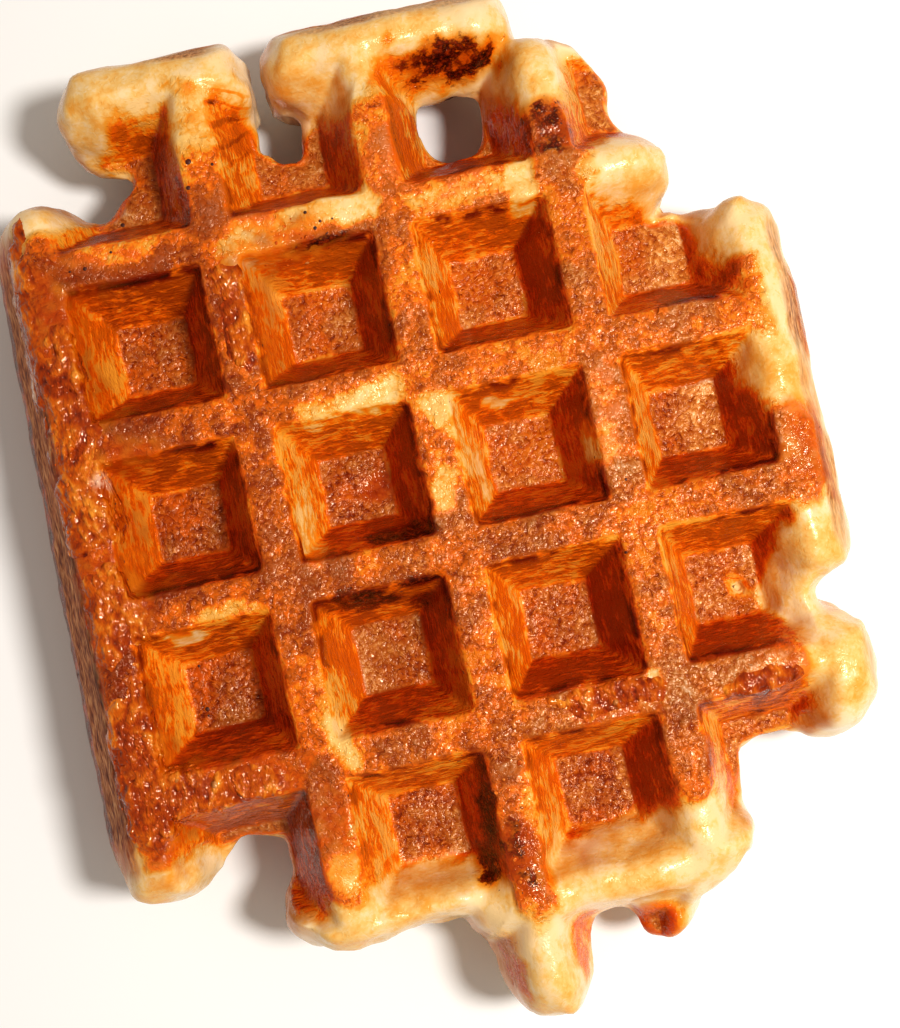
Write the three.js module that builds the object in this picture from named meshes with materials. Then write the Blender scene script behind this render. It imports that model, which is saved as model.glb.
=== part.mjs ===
// A liege waffle: one piece of risen dough, baked between two deep square-waffle plates.
//
// The plates give the lattice: straight ridges a pitch apart, with a tapered square well in
// each gap, the same on both faces, and a thin web of dough left between opposite wells.
// The dough didn't fill the plates. It ran out along the ridges and stopped in rounded lobes,
// and it met the plates' slanted border only on the left, along the top and on the right.
//
// Lattice places are in pitches: `across` counts ridges from the left border ridge, and
// `down` counts them from the top border ridge. Everything else is in millimetres.

import * as THREE from 'three';

// ---- Driving dimensions, in millimetres ----
const PITCH = 24; // middle of one ridge to the middle of the next
const RIDGE_FLAT = 5.3; // flat width along the top of a ridge
const WELL_FLOOR = 9.9; // width of a well's flat floor
const WELL_DEPTH = 10.8; // ridge top down to the floor
const WEB = 4.4; // dough between the floors of opposite wells
const BORDER_SPREAD = 5.6; // how far the border's side leans out from plate to mid height
const TOP_SHORT = 0.3; // how much closer in the top border stands than the two at the sides
const TIP_ROUND = 7.5; // length over which a free end rounds off
const BLEND = 3; // radius where one run of dough flows into the next
const RIDGE_SAG = 0.35; // how far ridge tops dip below the plate, at most
const SAG_LENGTH = 19; // from one dip to about the next
const FLOOR_SWELL = 0.36; // how far floors and walls wander from the plate, at most
const SWELL_LENGTH = 13; // from one swell to about the next
const EDGE_LUMP = 0.5; // how far free edges wander in and out, at most
const LUMP_LENGTH = 15; // from one lump to about the next
const LATTICE_OFFSET = [0, 4.7]; // lattice middle, from the middle of the finished outline

// ---- The lattice, counted in pitches ----
const RIDGES_ACROSS = 4; // the last ridge across is the right border
const LATTICE_MIDDLE = { across: 2, down: 2.5 };

// ---- Worked out from the sizes above ----
const THICKNESS = WEB + 2 * WELL_DEPTH;
const MID = THICKNESS / 2;
const WELL_RIM = PITCH - RIDGE_FLAT;
const WALL_RUN = (WELL_RIM - WELL_FLOOR) / 2;

const xOf = (across) => (across - LATTICE_MIDDLE.across) * PITCH + LATTICE_OFFSET[0];
const yOf = (down) => (LATTICE_MIDDLE.down - down) * PITCH + LATTICE_OFFSET[1];

// ---- Where the dough ran ----
// A run is a bar of dough along a ridge, from one rounded end to the other. `half` is half
// its width and `rise` half its height: past MID it fills the ridge up to the plates, and
// under MID it stops short of them, as a soft lobe. `from` and `to` are in pitches.
const DOWN_RUNS = [
  { ridge: 0, from: 0.5, to: 4.64, half: 8, rise: 15 },
  { ridge: 1, from: -0.4, to: 5.09, half: 8.2, rise: 15 },
  { ridge: 2.01, from: -0.4, to: 5.73, half: 7.3, rise: 14 },
  { ridge: 3.01, from: 0.11, to: 5.16, half: 8.5, rise: 15 },
  { ridge: 4, from: 1.29, to: 3.6, half: 7.8, rise: 15 },
];
const ACROSS_RUNS = [
  { ridge: 0.05, from: 0.2, to: 1.35, half: 8, rise: 12.2 },
  { ridge: -0.02, from: 1.43, to: 2.98, half: 8.2, rise: 12.8 },
  { ridge: 0.99, from: -0.4, to: 3.71, half: 8, rise: 15 },
  { ridge: 2, from: -0.4, to: 4.5, half: 8.4, rise: 15 },
  { ridge: 3, from: -0.4, to: 4.34, half: 8.4, rise: 15 },
  { ridge: 4, from: -0.4, to: 4, half: 8.4, rise: 15 },
  { ridge: 4.83, from: 0.58, to: 1.9, half: 5.6, rise: 12.6 },
  { ridge: 4.99, from: 1.75, to: 3.12, half: 6.5, rise: 12.8 },
];
// A patch is a round of dough in the thin web between the ridges, or a lobe of it.
const PATCHES = [
  { name: 'web of the top left well', across: 0.84, down: 0.82, halfAcross: 11, halfDown: 11, rise: 15 },
  { name: 'strip beside the first ridge', across: 1.2, down: 0.28, halfAcross: 4.8, halfDown: 10, rise: 9 },
  { name: 'strip beside the second ridge', across: 1.8, down: 0.26, halfAcross: 6, halfDown: 8, rise: 9 },
  { name: 'web of the second well', across: 1.5, down: 0.86, halfAcross: 11, halfDown: 8.8, rise: 9 },
  { name: 'strip beside the third ridge', across: 3.2, down: 0.4, halfAcross: 6.4, halfDown: 7, rise: 9 },
  { name: 'web of the top right well', across: 3.33, down: 0.86, halfAcross: 6, halfDown: 6.8, rise: 12 },
  { name: 'web beside the right border', across: 3.72, down: 1.5, halfAcross: 6, halfDown: 6.5, rise: 6 },
  { name: 'web between the right lobes', across: 3.82, down: 3.6, halfAcross: 4.4, halfDown: 5, rise: 9 },
  { name: 'lower right lobe', across: 3.95, down: 4.1, halfAcross: 9, halfDown: 9.9, rise: 13.4 },
  { name: 'web under the lower lobe', across: 3.5, down: 4.29, halfAcross: 9, halfDown: 3.2, rise: 9 },
  { name: 'web of the second well below', across: 1.5, down: 4.5, halfAcross: 12, halfDown: 12, rise: 9 },
  { name: 'web of the third well below', across: 2.5, down: 4.5, halfAcross: 12, halfDown: 12, rise: 9 },
  { name: 'shoulder of the long tip', across: 1.83, down: 5.08, halfAcross: 4.6, halfDown: 5, rise: 11 },
  { name: 'tongue below the last ridge', across: 2.74, down: 5.22, halfAcross: 5, halfDown: 5.4, rise: 7 },
];
// The middle of the waffle is filled from plate to plate, in two boxes, in pitches.
const FILLED = [
  { left: -0.6, right: 3.55, top: 0.95, bottom: 4.33 },
  { left: 3.4, right: 4, top: 1.34, bottom: 3.5 },
];
// Gaps go right through: a hole in one web, and the slit where two lobes don't quite meet.
const GAPS = [
  { name: 'hole', across: 2.46, down: 0.42, halfAcross: 3.8, halfDown: 3.1, corner: 2.2 },
  { name: 'slit', across: 1.41, down: 0, halfAcross: 1.25, halfDown: 10, corner: 1 },
  { name: 'foot of the slit', across: 1.5, down: 0.36, halfAcross: 2.4, halfDown: 3.4, corner: 2 },
];

// ---- Small helpers ----
const TINY = 1e-9; // a slope under this is flat

const clamp = (value, low, high) => Math.min(Math.max(value, low), high);

/** Smooth minimum of two distances, rounded over the given radius. */
function blend(a, b, radius) {
  const overlap = Math.max(radius - Math.abs(a - b), 0) / radius;
  return Math.min(a, b) - (overlap * overlap * radius) / 4;
}

/** Distance in the plan to a rounded box. */
function roundedBox(x, y, halfX, halfY, corner) {
  const dx = Math.abs(x) - halfX + corner;
  const dy = Math.abs(y) - halfY + corner;
  return Math.hypot(Math.max(dx, 0), Math.max(dy, 0)) + Math.min(Math.max(dx, dy), 0) - corner;
}

/** Nearly the distance to an ellipsoid about the origin. */
function ellipsoid(x, y, z, rx, ry, rz) {
  const level = Math.hypot(x / rx, y / ry, z / rz);
  const slope = Math.hypot(x / (rx * rx), y / (ry * ry), z / (rz * rz));
  return slope < TINY ? -Math.min(rx, ry, rz) : (level * (level - 1)) / slope;
}

/** Gentle waves between -1 and 1, the unevenness of risen dough. */
function lumps(x, y, z, size) {
  const wave = (ax, ay, az, phase) =>
    Math.sin((ax * x + ay * y + az * z) * ((2 * Math.PI) / size) + phase);
  return (
    0.4 * wave(0.83, 0.35, 0.2, 0.4) +
    0.35 * wave(-0.42, 0.96, 0.3, 1.9) +
    0.25 * wave(1.3, -1.1, 0.7, 4.1)
  );
}

// ---- The plates ----
/** How far along a well's wall a plan point is: 0 on the floor, 1 on a ridge. */
function wallPlace(x, y) {
  const across = (x - xOf(0)) / PITCH;
  const down = (yOf(0) - y) / PITCH;
  if (across < 0 || across > RIDGES_ACROSS || down < 0) return 1;
  const fromMiddle = (place) => Math.abs(place - Math.floor(place) - 0.5) * PITCH;
  const out = Math.max(fromMiddle(across), fromMiddle(down));
  return clamp((out - WELL_FLOOR / 2) / WALL_RUN, 0, 1);
}

// The two faces swell in different places: each reads the waves at a level of its own.
const UPPER_WAVES = 9;
const LOWER_WAVES = 31;

/** Height of the dough's face over mid height, where it meets the upper plate. */
function upperFace(x, y) {
  const place = wallPlace(x, y);
  const dip = RIDGE_SAG * (0.5 + 0.5 * lumps(x, y, 0, SAG_LENGTH));
  const swell = FLOOR_SWELL * lumps(x, y, UPPER_WAVES, SWELL_LENGTH);
  return WEB / 2 + (WELL_DEPTH - dip) * place + swell * (1 - place);
}

/** The same for the lower plate, where the ridges stay flat enough to stand on. */
function lowerFace(x, y) {
  const place = wallPlace(x, y);
  const swell = FLOOR_SWELL * lumps(x, y, LOWER_WAVES, SWELL_LENGTH);
  return WEB / 2 + WELL_DEPTH * place + swell * (1 - place);
}

/** Distance past the plates' slanted border, on the left, along the top and on the right. */
function border(x, y, z) {
  const lean = BORDER_SPREAD * (Math.abs(z) / MID);
  const slope = Math.hypot(1, BORDER_SPREAD / MID);
  const reach = RIDGE_FLAT / 2 + BORDER_SPREAD - lean;
  const left = xOf(0) - reach - x;
  const right = x - xOf(RIDGES_ACROSS) - reach;
  const top = y - yOf(0) - reach + TOP_SHORT;
  return Math.max(left, right, top) / slope;
}

// ---- The dough ----
/** Distance to a run: a bar with rounded ends, `along` its length and `off` to its side. */
function runOfDough(along, off, z, run) {
  const past = Math.max(run.from * PITCH + TIP_ROUND - along, along - run.to * PITCH + TIP_ROUND, 0);
  return ellipsoid(past, off, z, TIP_ROUND, run.half, run.rise);
}

/** Distance to the free surface of the dough, before the plates shape it. */
function dough(x, y, z) {
  const across = x - xOf(0);
  const down = yOf(0) - y;
  let shape = Infinity;
  for (const box of FILLED) {
    const past = Math.max(
      box.left * PITCH - across,
      across - box.right * PITCH,
      box.top * PITCH - down,
      down - box.bottom * PITCH,
    );
    shape = Math.min(shape, past);
  }
  for (const run of DOWN_RUNS) {
    shape = blend(shape, runOfDough(down, across - run.ridge * PITCH, z, run), BLEND);
  }
  for (const run of ACROSS_RUNS) {
    shape = blend(shape, runOfDough(across, down - run.ridge * PITCH, z, run), BLEND);
  }
  for (const patch of PATCHES) {
    const dx = across - patch.across * PITCH;
    const dy = down - patch.down * PITCH;
    shape = blend(shape, ellipsoid(dx, dy, z, patch.halfAcross, patch.halfDown, patch.rise), BLEND);
  }
  for (const gap of GAPS) {
    const dx = across - gap.across * PITCH;
    const dy = down - gap.down * PITCH;
    shape = Math.max(shape, -roundedBox(dx, dy, gap.halfAcross, gap.halfDown, gap.corner));
  }
  return shape + EDGE_LUMP * lumps(x, y, z, LUMP_LENGTH);
}

/** Distance past the sides of the waffle: its free edges, or the plates' border. */
const sides = (x, y, z) => Math.max(dough(x, y, z), border(x, y, z));

// ---- The mesh ----
// The waffle is meshed in plate space, where a point's third number runs from -1 on the lower
// plate to 1 on the upper one. There both faces are flat, so each column of cells needs one
// point on each face, and the ridges and walls come out straight.
const heightOf = (x, y, level) => (level > 0 ? upperFace(x, y) : lowerFace(x, y)) * level;

/** Distance past the waffle's surface at a point in plate space. */
function outside(x, y, level) {
  const z = heightOf(x, y, level);
  const face = (Math.abs(level) - 1) * (level > 0 ? upperFace(x, y) : lowerFace(x, y));
  return Math.max(face, sides(x, y, z));
}

/** Places along one axis where the mesh has points, and the cell walls halfway between. */
function latticeLines(start, pitches) {
  const ridge = RIDGE_FLAT / 2;
  const floor = ridge + WALL_RUN;
  const third = WELL_FLOOR / 3;
  const steps = [ridge, ridge + WALL_RUN / 2, floor, floor + third];
  const marks = [...steps, ...steps.map((step) => PITCH - step).reverse()];
  const points = [];
  for (let n = 0; n < pitches; n++) {
    for (const mark of marks) points.push(start + n * PITCH + mark);
  }
  const walls = points.slice(1).map((point, i) => (point + points[i]) / 2);
  return { points: points.slice(1, -1), walls };
}

const SPAN = { left: -1, right: 5, top: -1, bottom: 6 }; // what the cells cover, in pitches
const LEVEL_WALLS = [-1.14, -0.82, -0.5, -0.17, 0.17, 0.5, 0.82, 1.14]; // from cell to cell
const CELL_MARGIN = 0.15; // how far a point on the side stays from its cell's walls
const TOUCH_FILL = 0.05; // how far inside the dough a filled corner is taken to be
const ON_PLATE = 0.97; // past this level a point belongs to a plate
const SLOPE_STEP = 0.02; // distance over which slopes are measured
const LEAST_SLOPE = 0.05; // square of the slope under which a point stays where it is
const MOVES = 5; // times a point is moved towards the surface

/** Moves a point onto the waffle's side down the steepest slope, and keeps it in its cell. */
function ontoSide([startX, startY, level], onPlate, cell) {
  let [x, y, z] = [startX, startY, heightOf(startX, startY, level)];
  const slopeAlong = (dx, dy, dz) =>
    (sides(x + dx, y + dy, z + dz) - sides(x - dx, y - dy, z - dz)) / (2 * SLOPE_STEP);
  for (let n = 0; n < MOVES; n++) {
    const value = sides(x, y, z);
    const gx = slopeAlong(SLOPE_STEP, 0, 0);
    const gy = slopeAlong(0, SLOPE_STEP, 0);
    const gz = onPlate ? 0 : slopeAlong(0, 0, SLOPE_STEP);
    const square = gx * gx + gy * gy + gz * gz;
    if (square < LEAST_SLOPE) break;
    x = clamp(x - (value * gx) / square, cell.x[0] + CELL_MARGIN, cell.x[1] - CELL_MARGIN);
    y = clamp(y - (value * gy) / square, cell.y[0] + CELL_MARGIN, cell.y[1] - CELL_MARGIN);
    const [low, high] = cell.level.map((wall) => heightOf(x, y, clamp(wall, -1, 1)));
    z = onPlate ? heightOf(x, y, level) : clamp(z - (value * gz) / square, low, high);
  }
  return [x, y, z];
}

/** Fills in dough where two bodies of it would meet at no more than an edge. */
function joinTouchingCorners({ values, size, at }) {
  const steps = [at(1, 0, 0), at(0, 1, 0), at(0, 0, 1)];
  const pairs = [[0, 1], [1, 2], [2, 0]];
  for (let i = 0; i + 1 < size[0]; i++) {
    for (let j = 0; j + 1 < size[1]; j++) {
      for (let k = 0; k + 1 < size[2]; k++) {
        for (const [one, two] of pairs) {
          const a = at(i, j, k);
          const ring = [a, a + steps[one], a + steps[one] + steps[two], a + steps[two]];
          const solid = ring.map((node) => values[node] < 0);
          if (solid[0] !== solid[2] || solid[1] !== solid[3] || solid[0] === solid[1]) continue;
          const gap = solid[0] ? [ring[1], ring[3]] : [ring[0], ring[2]];
          values[values[gap[0]] < values[gap[1]] ? gap[0] : gap[1]] = -TOUCH_FILL;
        }
      }
    }
  }
}

/** Measures the waffle at every corner of the cells. */
function measureCells(xs, ys) {
  const size = [xs.walls.length, ys.walls.length, LEVEL_WALLS.length];
  const at = (i, j, k) => (i * size[1] + j) * size[2] + k;
  const values = new Float64Array(size[0] * size[1] * size[2]);
  for (let i = 0; i < size[0]; i++) {
    for (let j = 0; j < size[1]; j++) {
      for (let k = 0; k < size[2]; k++) {
        values[at(i, j, k)] = outside(xs.walls[i], ys.walls[j], LEVEL_WALLS[k]);
      }
    }
  }
  return { values, size, at };
}

const CORNERS = Array.from({ length: 8 }, (_, n) => [n & 1, (n >> 1) & 1, (n >> 2) & 1]);
const EDGES = CORNERS.flatMap((_, a) =>
  [1, 2, 4].filter((bit) => !(a & bit)).map((bit) => [a, a | bit]));

/** Finds the waffle's point in one cell, or nothing where the surface misses the cell. */
function pointInCell(cells, xs, ys, i, j, k) {
  const value = CORNERS.map(([a, b, c]) => cells.values[cells.at(i + a, j + b, k + c)]);
  const crossings = [];
  for (const [a, b] of EDGES) {
    if (value[a] < 0 === value[b] < 0) continue;
    const part = value[a] / (value[a] - value[b]);
    const place = CORNERS[a].map((from, axis) => from + part * (CORNERS[b][axis] - from));
    crossings.push({ place, upright: b - a === 4 });
  }
  if (crossings.length === 0) return null;
  const mean = (list, axis) =>
    list.reduce((sum, { place }) => sum + place[axis], 0) / list.length;
  const within = (walls, n, part) => walls[n] + part * (walls[n + 1] - walls[n]);
  const uprights = crossings.filter(({ upright }) => upright);
  const level = within(LEVEL_WALLS, k, mean(uprights.length ? uprights : crossings, 2));
  const onPlate = Math.abs(level) > ON_PLATE;
  if (onPlate && uprights.length === crossings.length) {
    const [x, y] = [xs.points[i], ys.points[j]];
    const z = heightOf(x, y, Math.sign(level));
    if (sides(x, y, z) < 0) return [x, y, z];
  }
  const start = [within(xs.walls, i, mean(crossings, 0)), within(ys.walls, j, mean(crossings, 1))];
  const cell = {
    x: [xs.walls[i], xs.walls[i + 1]],
    y: [ys.walls[j], ys.walls[j + 1]],
    level: [LEVEL_WALLS[k], LEVEL_WALLS[k + 1]],
  };
  return ontoSide([...start, onPlate ? Math.sign(level) : level], onPlate, cell);
}

/** Splits a four-sided face in two along whichever diagonal lies closer to the surface. */
function addFace(index, positions, [a, b, c, d]) {
  const miss = (one, two) => {
    const halfWay = (axis) => (positions[one * 3 + axis] + positions[two * 3 + axis]) / 2;
    const [x, y, z] = [halfWay(0), halfWay(1), halfWay(2) - MID];
    const face = Math.abs(z) - (z > 0 ? upperFace(x, y) : lowerFace(x, y));
    return Math.abs(Math.max(face, sides(x, y, z)));
  };
  if (miss(a, c) <= miss(b, d)) index.push(a, b, c, a, c, d);
  else index.push(b, c, d, b, d, a);
}

/** Builds the closed mesh: a point in each cell that the surface crosses, joined in fours. */
function meshWaffle() {
  const xs = latticeLines(xOf(SPAN.left), SPAN.right - SPAN.left);
  const ys = latticeLines(yOf(SPAN.bottom), SPAN.bottom - SPAN.top);
  const cells = measureCells(xs, ys);
  joinTouchingCorners(cells);
  const { values, size, at } = cells;

  const positions = [];
  const pointOf = new Int32Array(values.length).fill(-1);
  for (let i = 0; i + 1 < size[0]; i++) {
    for (let j = 0; j + 1 < size[1]; j++) {
      for (let k = 0; k + 1 < size[2]; k++) {
        const point = pointInCell(cells, xs, ys, i, j, k);
        if (!point) continue;
        pointOf[at(i, j, k)] = positions.length / 3;
        positions.push(point[0], point[1], point[2] + MID);
      }
    }
  }

  const index = [];
  const steps = [[1, 0, 0], [0, 1, 0], [0, 0, 1]];
  for (let axis = 0; axis < 3; axis++) {
    const [one, two] = [steps[(axis + 1) % 3], steps[(axis + 2) % 3]];
    const [di, dj, dk] = steps[axis];
    for (let i = 1 - di; i + 1 < size[0]; i++) {
      for (let j = 1 - dj; j + 1 < size[1]; j++) {
        for (let k = 1 - dk; k + 1 < size[2]; k++) {
          const solid = values[at(i, j, k)] < 0;
          if (solid === values[at(i + di, j + dj, k + dk)] < 0) continue;
          const back = at(i, j, k);
          const [stepOne, stepTwo] = [at(...one), at(...two)];
          const ring = [back - stepOne - stepTwo, back - stepTwo, back, back - stepOne];
          const face = ring.map((cell) => pointOf[cell]);
          addFace(index, positions, solid ? face : face.reverse());
        }
      }
    }
  }

  const geometry = new THREE.BufferGeometry();
  geometry.setAttribute('position', new THREE.Float32BufferAttribute(positions, 3));
  geometry.setIndex(index);
  geometry.computeVertexNormals();
  return geometry;
}

// ---- The part ----
const crust = new THREE.MeshStandardMaterial({ color: 0xb9652b, roughness: 0.55, metalness: 0 });

const waffle = new THREE.Mesh(meshWaffle(), crust);
waffle.name = 'waffle';

const part = new THREE.Group();
part.add(waffle);

export default part;
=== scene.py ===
"""A liege waffle, lying flat on a pale floor in soft studio light.

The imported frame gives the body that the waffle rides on. This script builds the waffle again
from the same driving sizes with a fine surface, bakes its crust, and adds what melted sugar
left on it.

Lattice places are counted in pitches: `across` from the left border ridge and `down` from the
top border ridge. Other sizes are millimetres, and become metres only as a mesh is made.
Heights are measured from the waffle's mid height unless a name says otherwise.
"""

import logging
import math
from collections.abc import Sequence
from dataclasses import dataclass, field
from enum import Enum

import bpy
import numpy as np
from mathutils import Euler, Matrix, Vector

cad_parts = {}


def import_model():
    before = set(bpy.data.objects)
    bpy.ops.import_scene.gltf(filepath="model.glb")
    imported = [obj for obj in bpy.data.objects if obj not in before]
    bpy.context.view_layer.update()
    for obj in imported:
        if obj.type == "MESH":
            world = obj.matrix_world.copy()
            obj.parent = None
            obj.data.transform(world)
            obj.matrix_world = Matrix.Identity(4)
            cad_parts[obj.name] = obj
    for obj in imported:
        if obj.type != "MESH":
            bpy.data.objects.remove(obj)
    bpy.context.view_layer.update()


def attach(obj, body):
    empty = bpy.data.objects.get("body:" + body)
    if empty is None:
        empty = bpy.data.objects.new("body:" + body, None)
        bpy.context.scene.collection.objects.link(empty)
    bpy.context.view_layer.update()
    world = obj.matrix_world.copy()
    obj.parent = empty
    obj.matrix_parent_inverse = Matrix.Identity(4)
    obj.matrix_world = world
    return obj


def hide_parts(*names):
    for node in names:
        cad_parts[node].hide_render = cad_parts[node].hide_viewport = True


MM = 0.001  # metres in a millimetre
NODE = "waffle"
BODY = "root"
LOG = logging.getLogger("waffle")
Array = np.ndarray


# ---- Small mathematics ----
def smooth_min(a: Array, b: Array, radius: float) -> Array:
    """Smaller of two values, rounded over where they are within `radius` of each other."""
    overlap = np.maximum(radius - np.abs(a - b), 0) / radius
    return np.minimum(a, b) - overlap * overlap * radius / 4


def smooth_max(a: Array, b: Array, radius: float) -> Array:
    """Larger of two values, rounded over where they are within `radius` of each other."""
    return -smooth_min(-a, -b, radius)


def ramp(value: Array, low: float, high: float) -> Array:
    """Smooth step: 0 at `low`, 1 at `high`, either way round."""
    part = np.clip((value - low) / (high - low), 0, 1)
    return part * part * (3 - 2 * part)


class Noise:
    """Smooth gradient noise in space, the same on every run."""

    CELLS = 256
    SWING = 1.6  # brings the noise to about -1..1

    def __init__(self, seed: int) -> None:
        """Draws the noise's slopes.

        Args:
            seed: Number that fixes the draw.
        """
        draw = np.random.default_rng(seed)
        self._order = draw.permutation(self.CELLS)
        slopes = draw.normal(size=(self.CELLS, 3))
        self._slopes = slopes / np.linalg.norm(slopes, axis=1, keepdims=True)

    def __call__(self, points: Array, size: float | Sequence[float]) -> Array:
        """Measures the noise.

        Args:
            points: Places, one a row.
            size: Length of a lump in millimetres, or one length along each axis.

        Returns:
            A value of about -1 to 1 for each place.
        """
        place = points / np.asarray(size, float)
        cell = np.floor(place).astype(int)
        part = place - cell
        ease = part * part * part * (part * (part * 6 - 15) + 10)
        total = np.zeros(len(points))
        for corner in range(8):
            step = np.array([corner & 1, corner >> 1 & 1, corner >> 2 & 1])
            spot = (cell + step) % self.CELLS
            pick = (self._order[spot[:, 0]] + spot[:, 1]) % self.CELLS
            pick = self._order[(self._order[pick] + spot[:, 2]) % self.CELLS]
            weight = np.prod(np.where(step, ease, 1 - ease), axis=1)
            total += weight * np.einsum("ij,ij->i", self._slopes[pick], part - step)
        return total * self.SWING


def lumps(x: Array, y: Array, z: Array | float, size: float) -> Array:
    """Gentle waves between -1 and 1, the unevenness of risen dough.

    Args:
        x: Along X.
        y: Along Y.
        z: Over mid height.
        size: Length of a wave in millimetres.

    Returns:
        The height.
    """
    turn = 2 * math.pi / size
    return (
        0.4 * np.sin((0.83 * x + 0.35 * y + 0.2 * z) * turn + 0.4)
        + 0.35 * np.sin((-0.42 * x + 0.96 * y + 0.3 * z) * turn + 1.9)
        + 0.25 * np.sin((1.3 * x - 1.1 * y + 0.7 * z) * turn + 4.1)
    )


# ---- The plates' shape ----
@dataclass(frozen=True)
class Lattice:
    """The lattice of ridges and wells, in millimetres."""

    pitch: float = 24
    ridge_flat: float = 5.3
    well_floor: float = 9.9
    well_depth: float = 10.8
    web: float = 4.4
    ridges_across: int = 4
    middle_across: float = 2
    middle_down: float = 2.5
    shift_up: float = 4.7  # lattice middle, up from the middle of the outline

    @property
    def mid(self) -> float:
        """Height of mid height over the lower ridge tops."""
        return self.web / 2 + self.well_depth

    @property
    def wall_run(self) -> float:
        """How far a wall leans out from floor to ridge."""
        return (self.pitch - self.ridge_flat - self.well_floor) / 2

    def x_of(self, across: float) -> float:
        """Place in millimetres of a count across."""
        return (across - self.middle_across) * self.pitch

    def y_of(self, down: float) -> float:
        """Place in millimetres of a count down."""
        return (self.middle_down - down) * self.pitch + self.shift_up

    def across_of(self, x: Array) -> Array:
        """Count across of places in millimetres."""
        return x / self.pitch + self.middle_across

    def down_of(self, y: Array) -> Array:
        """Count down of places in millimetres."""
        return self.middle_down - (y - self.shift_up) / self.pitch


@dataclass(frozen=True)
class SoftEnd:
    """A place where the dough rose freely and came out round."""

    across: float
    down: float
    reach: float  # in millimetres


SOFT_ENDS = (
    SoftEnd(0.55, -0.08, 7), SoftEnd(1.05, -0.02, 7.5), SoftEnd(1.7, -0.05, 8),
    SoftEnd(2.25, -0.1, 8), SoftEnd(2.85, 0.1, 7), SoftEnd(3.0, 0.36, 4.5),
    SoftEnd(3.5, 1.0, 5.5), SoftEnd(4.0, 1.42, 7), SoftEnd(4.1, 1.95, 5), SoftEnd(4.08, 2.33, 4.5),
    SoftEnd(4.05, 3.42, 5.5), SoftEnd(4.05, 4.08, 8), SoftEnd(3.05, 4.98, 8),
    SoftEnd(2.5, 5.0, 8), SoftEnd(1.98, 5.45, 7.5), SoftEnd(1.5, 4.95, 6), SoftEnd(1.1, 5.0, 7.5),
    SoftEnd(0.03, 4.55, 5.5), SoftEnd(-0.02, 0.62, 4),
)


@dataclass(frozen=True)
class Plates:
    """What the two baking plates leave: walls, floors, ridge tops and a slanted border."""

    lattice: Lattice
    border_spread: float = 5.6
    top_short: float = 0.3
    ridge_round: float = 0.9  # height over which a ridge's edge rounds off
    floor_round: float = 0.5  # height over which a wall turns into the floor
    corner_round: float = 0.6  # roundness of a well's corners in the plan
    ridge_sag: float = 0.35
    sag_length: float = 19
    edge_sway: float = 0.13  # how far a wall wanders from its straight line
    sway_lengths: tuple[float, float] = (9, 4.3)
    soft_round: float = 4.2  # how much rounder ridges are where dough rose freely
    soft_fade: float = 4.5  # distance over which that sets in
    floor_swell: float = 0.36
    swell_length: float = 13
    upper_waves: float = 9
    lower_waves: float = 31

    def softness(self, x: Array, y: Array) -> Array:
        """How freely the dough rose at each plan point: 1 in a lobe.

        Args:
            x: Along X.
            y: Along Y.

        Returns:
            A value from 0 to 1.
        """
        grid, soft = self.lattice, np.zeros(np.shape(x))
        for end in SOFT_ENDS:
            away = np.hypot(x - grid.x_of(end.across), y - grid.y_of(end.down))
            soft = np.maximum(soft, ramp(away, end.reach + self.soft_fade, end.reach))
        return soft

    def rise(self, x: Array, y: Array) -> Array:
        """How far up a wall each plan point is: 0 on a floor, 1 on a ridge.

        Args:
            x: Along X.
            y: Along Y.

        Returns:
            A value from 0 to 1.
        """
        grid = self.lattice
        across, down = grid.across_of(x), grid.down_of(y)
        off_x = np.abs(across - np.floor(across) - 0.5) * grid.pitch
        off_y = np.abs(down - np.floor(down) - 0.5) * grid.pitch
        out = smooth_max(off_x, off_y, self.corner_round) - grid.well_floor / 2
        for length in self.sway_lengths:
            out = out + self.edge_sway * lumps(x, y, length, length)
        height = smooth_max(out * grid.well_depth / grid.wall_run, 0, self.floor_round)
        edge_round = self.ridge_round + self.soft_round * self.softness(x, y)
        height = smooth_min(height, grid.well_depth, edge_round)
        beyond = (across < 0) | (across > grid.ridges_across) | (down < 0)
        return np.where(beyond, 1, height / grid.well_depth)

    def upper(self, x: Array, y: Array) -> Array:
        """Height of the upper face over mid height.

        Args:
            x: Along X.
            y: Along Y.

        Returns:
            The height.
        """
        grid, rise = self.lattice, self.rise(x, y)
        dip = self.ridge_sag * (0.5 + 0.5 * lumps(x, y, 0, self.sag_length))
        swell = self.floor_swell * lumps(x, y, self.upper_waves, self.swell_length)
        return grid.web / 2 + (grid.well_depth - dip) * rise + swell * (1 - rise)

    def lower(self, x: Array, y: Array) -> Array:
        """Depth of the lower face under mid height.

        Args:
            x: Along X.
            y: Along Y.

        Returns:
            The depth.
        """
        grid, rise = self.lattice, self.rise(x, y)
        swell = self.floor_swell * lumps(x, y, self.lower_waves, self.swell_length)
        return grid.web / 2 + grid.well_depth * rise + swell * (1 - rise)

    def border(self, x: Array, y: Array, z: Array) -> Array:
        """Distance past the slanted border, on the left, along the top and on the right.

        Args:
            x: Along X.
            y: Along Y.
            z: Over mid height.

        Returns:
            The distance, negative inside.
        """
        grid = self.lattice
        lean = self.border_spread * np.abs(z) / grid.mid
        reach = grid.ridge_flat / 2 + self.border_spread - lean
        left = grid.x_of(0) - reach - x
        right = x - grid.x_of(grid.ridges_across) - reach
        top = y - grid.y_of(0) - reach + self.top_short
        past = np.maximum(np.maximum(left, right), top)
        return past / math.hypot(1, self.border_spread / grid.mid)


# ---- Where the dough ran ----
@dataclass(frozen=True)
class Run:
    """A bar of dough along a ridge. Places in pitches, `half` and `rise` in millimetres."""

    ridge: float
    start: float
    end: float
    half: float
    rise: float


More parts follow.
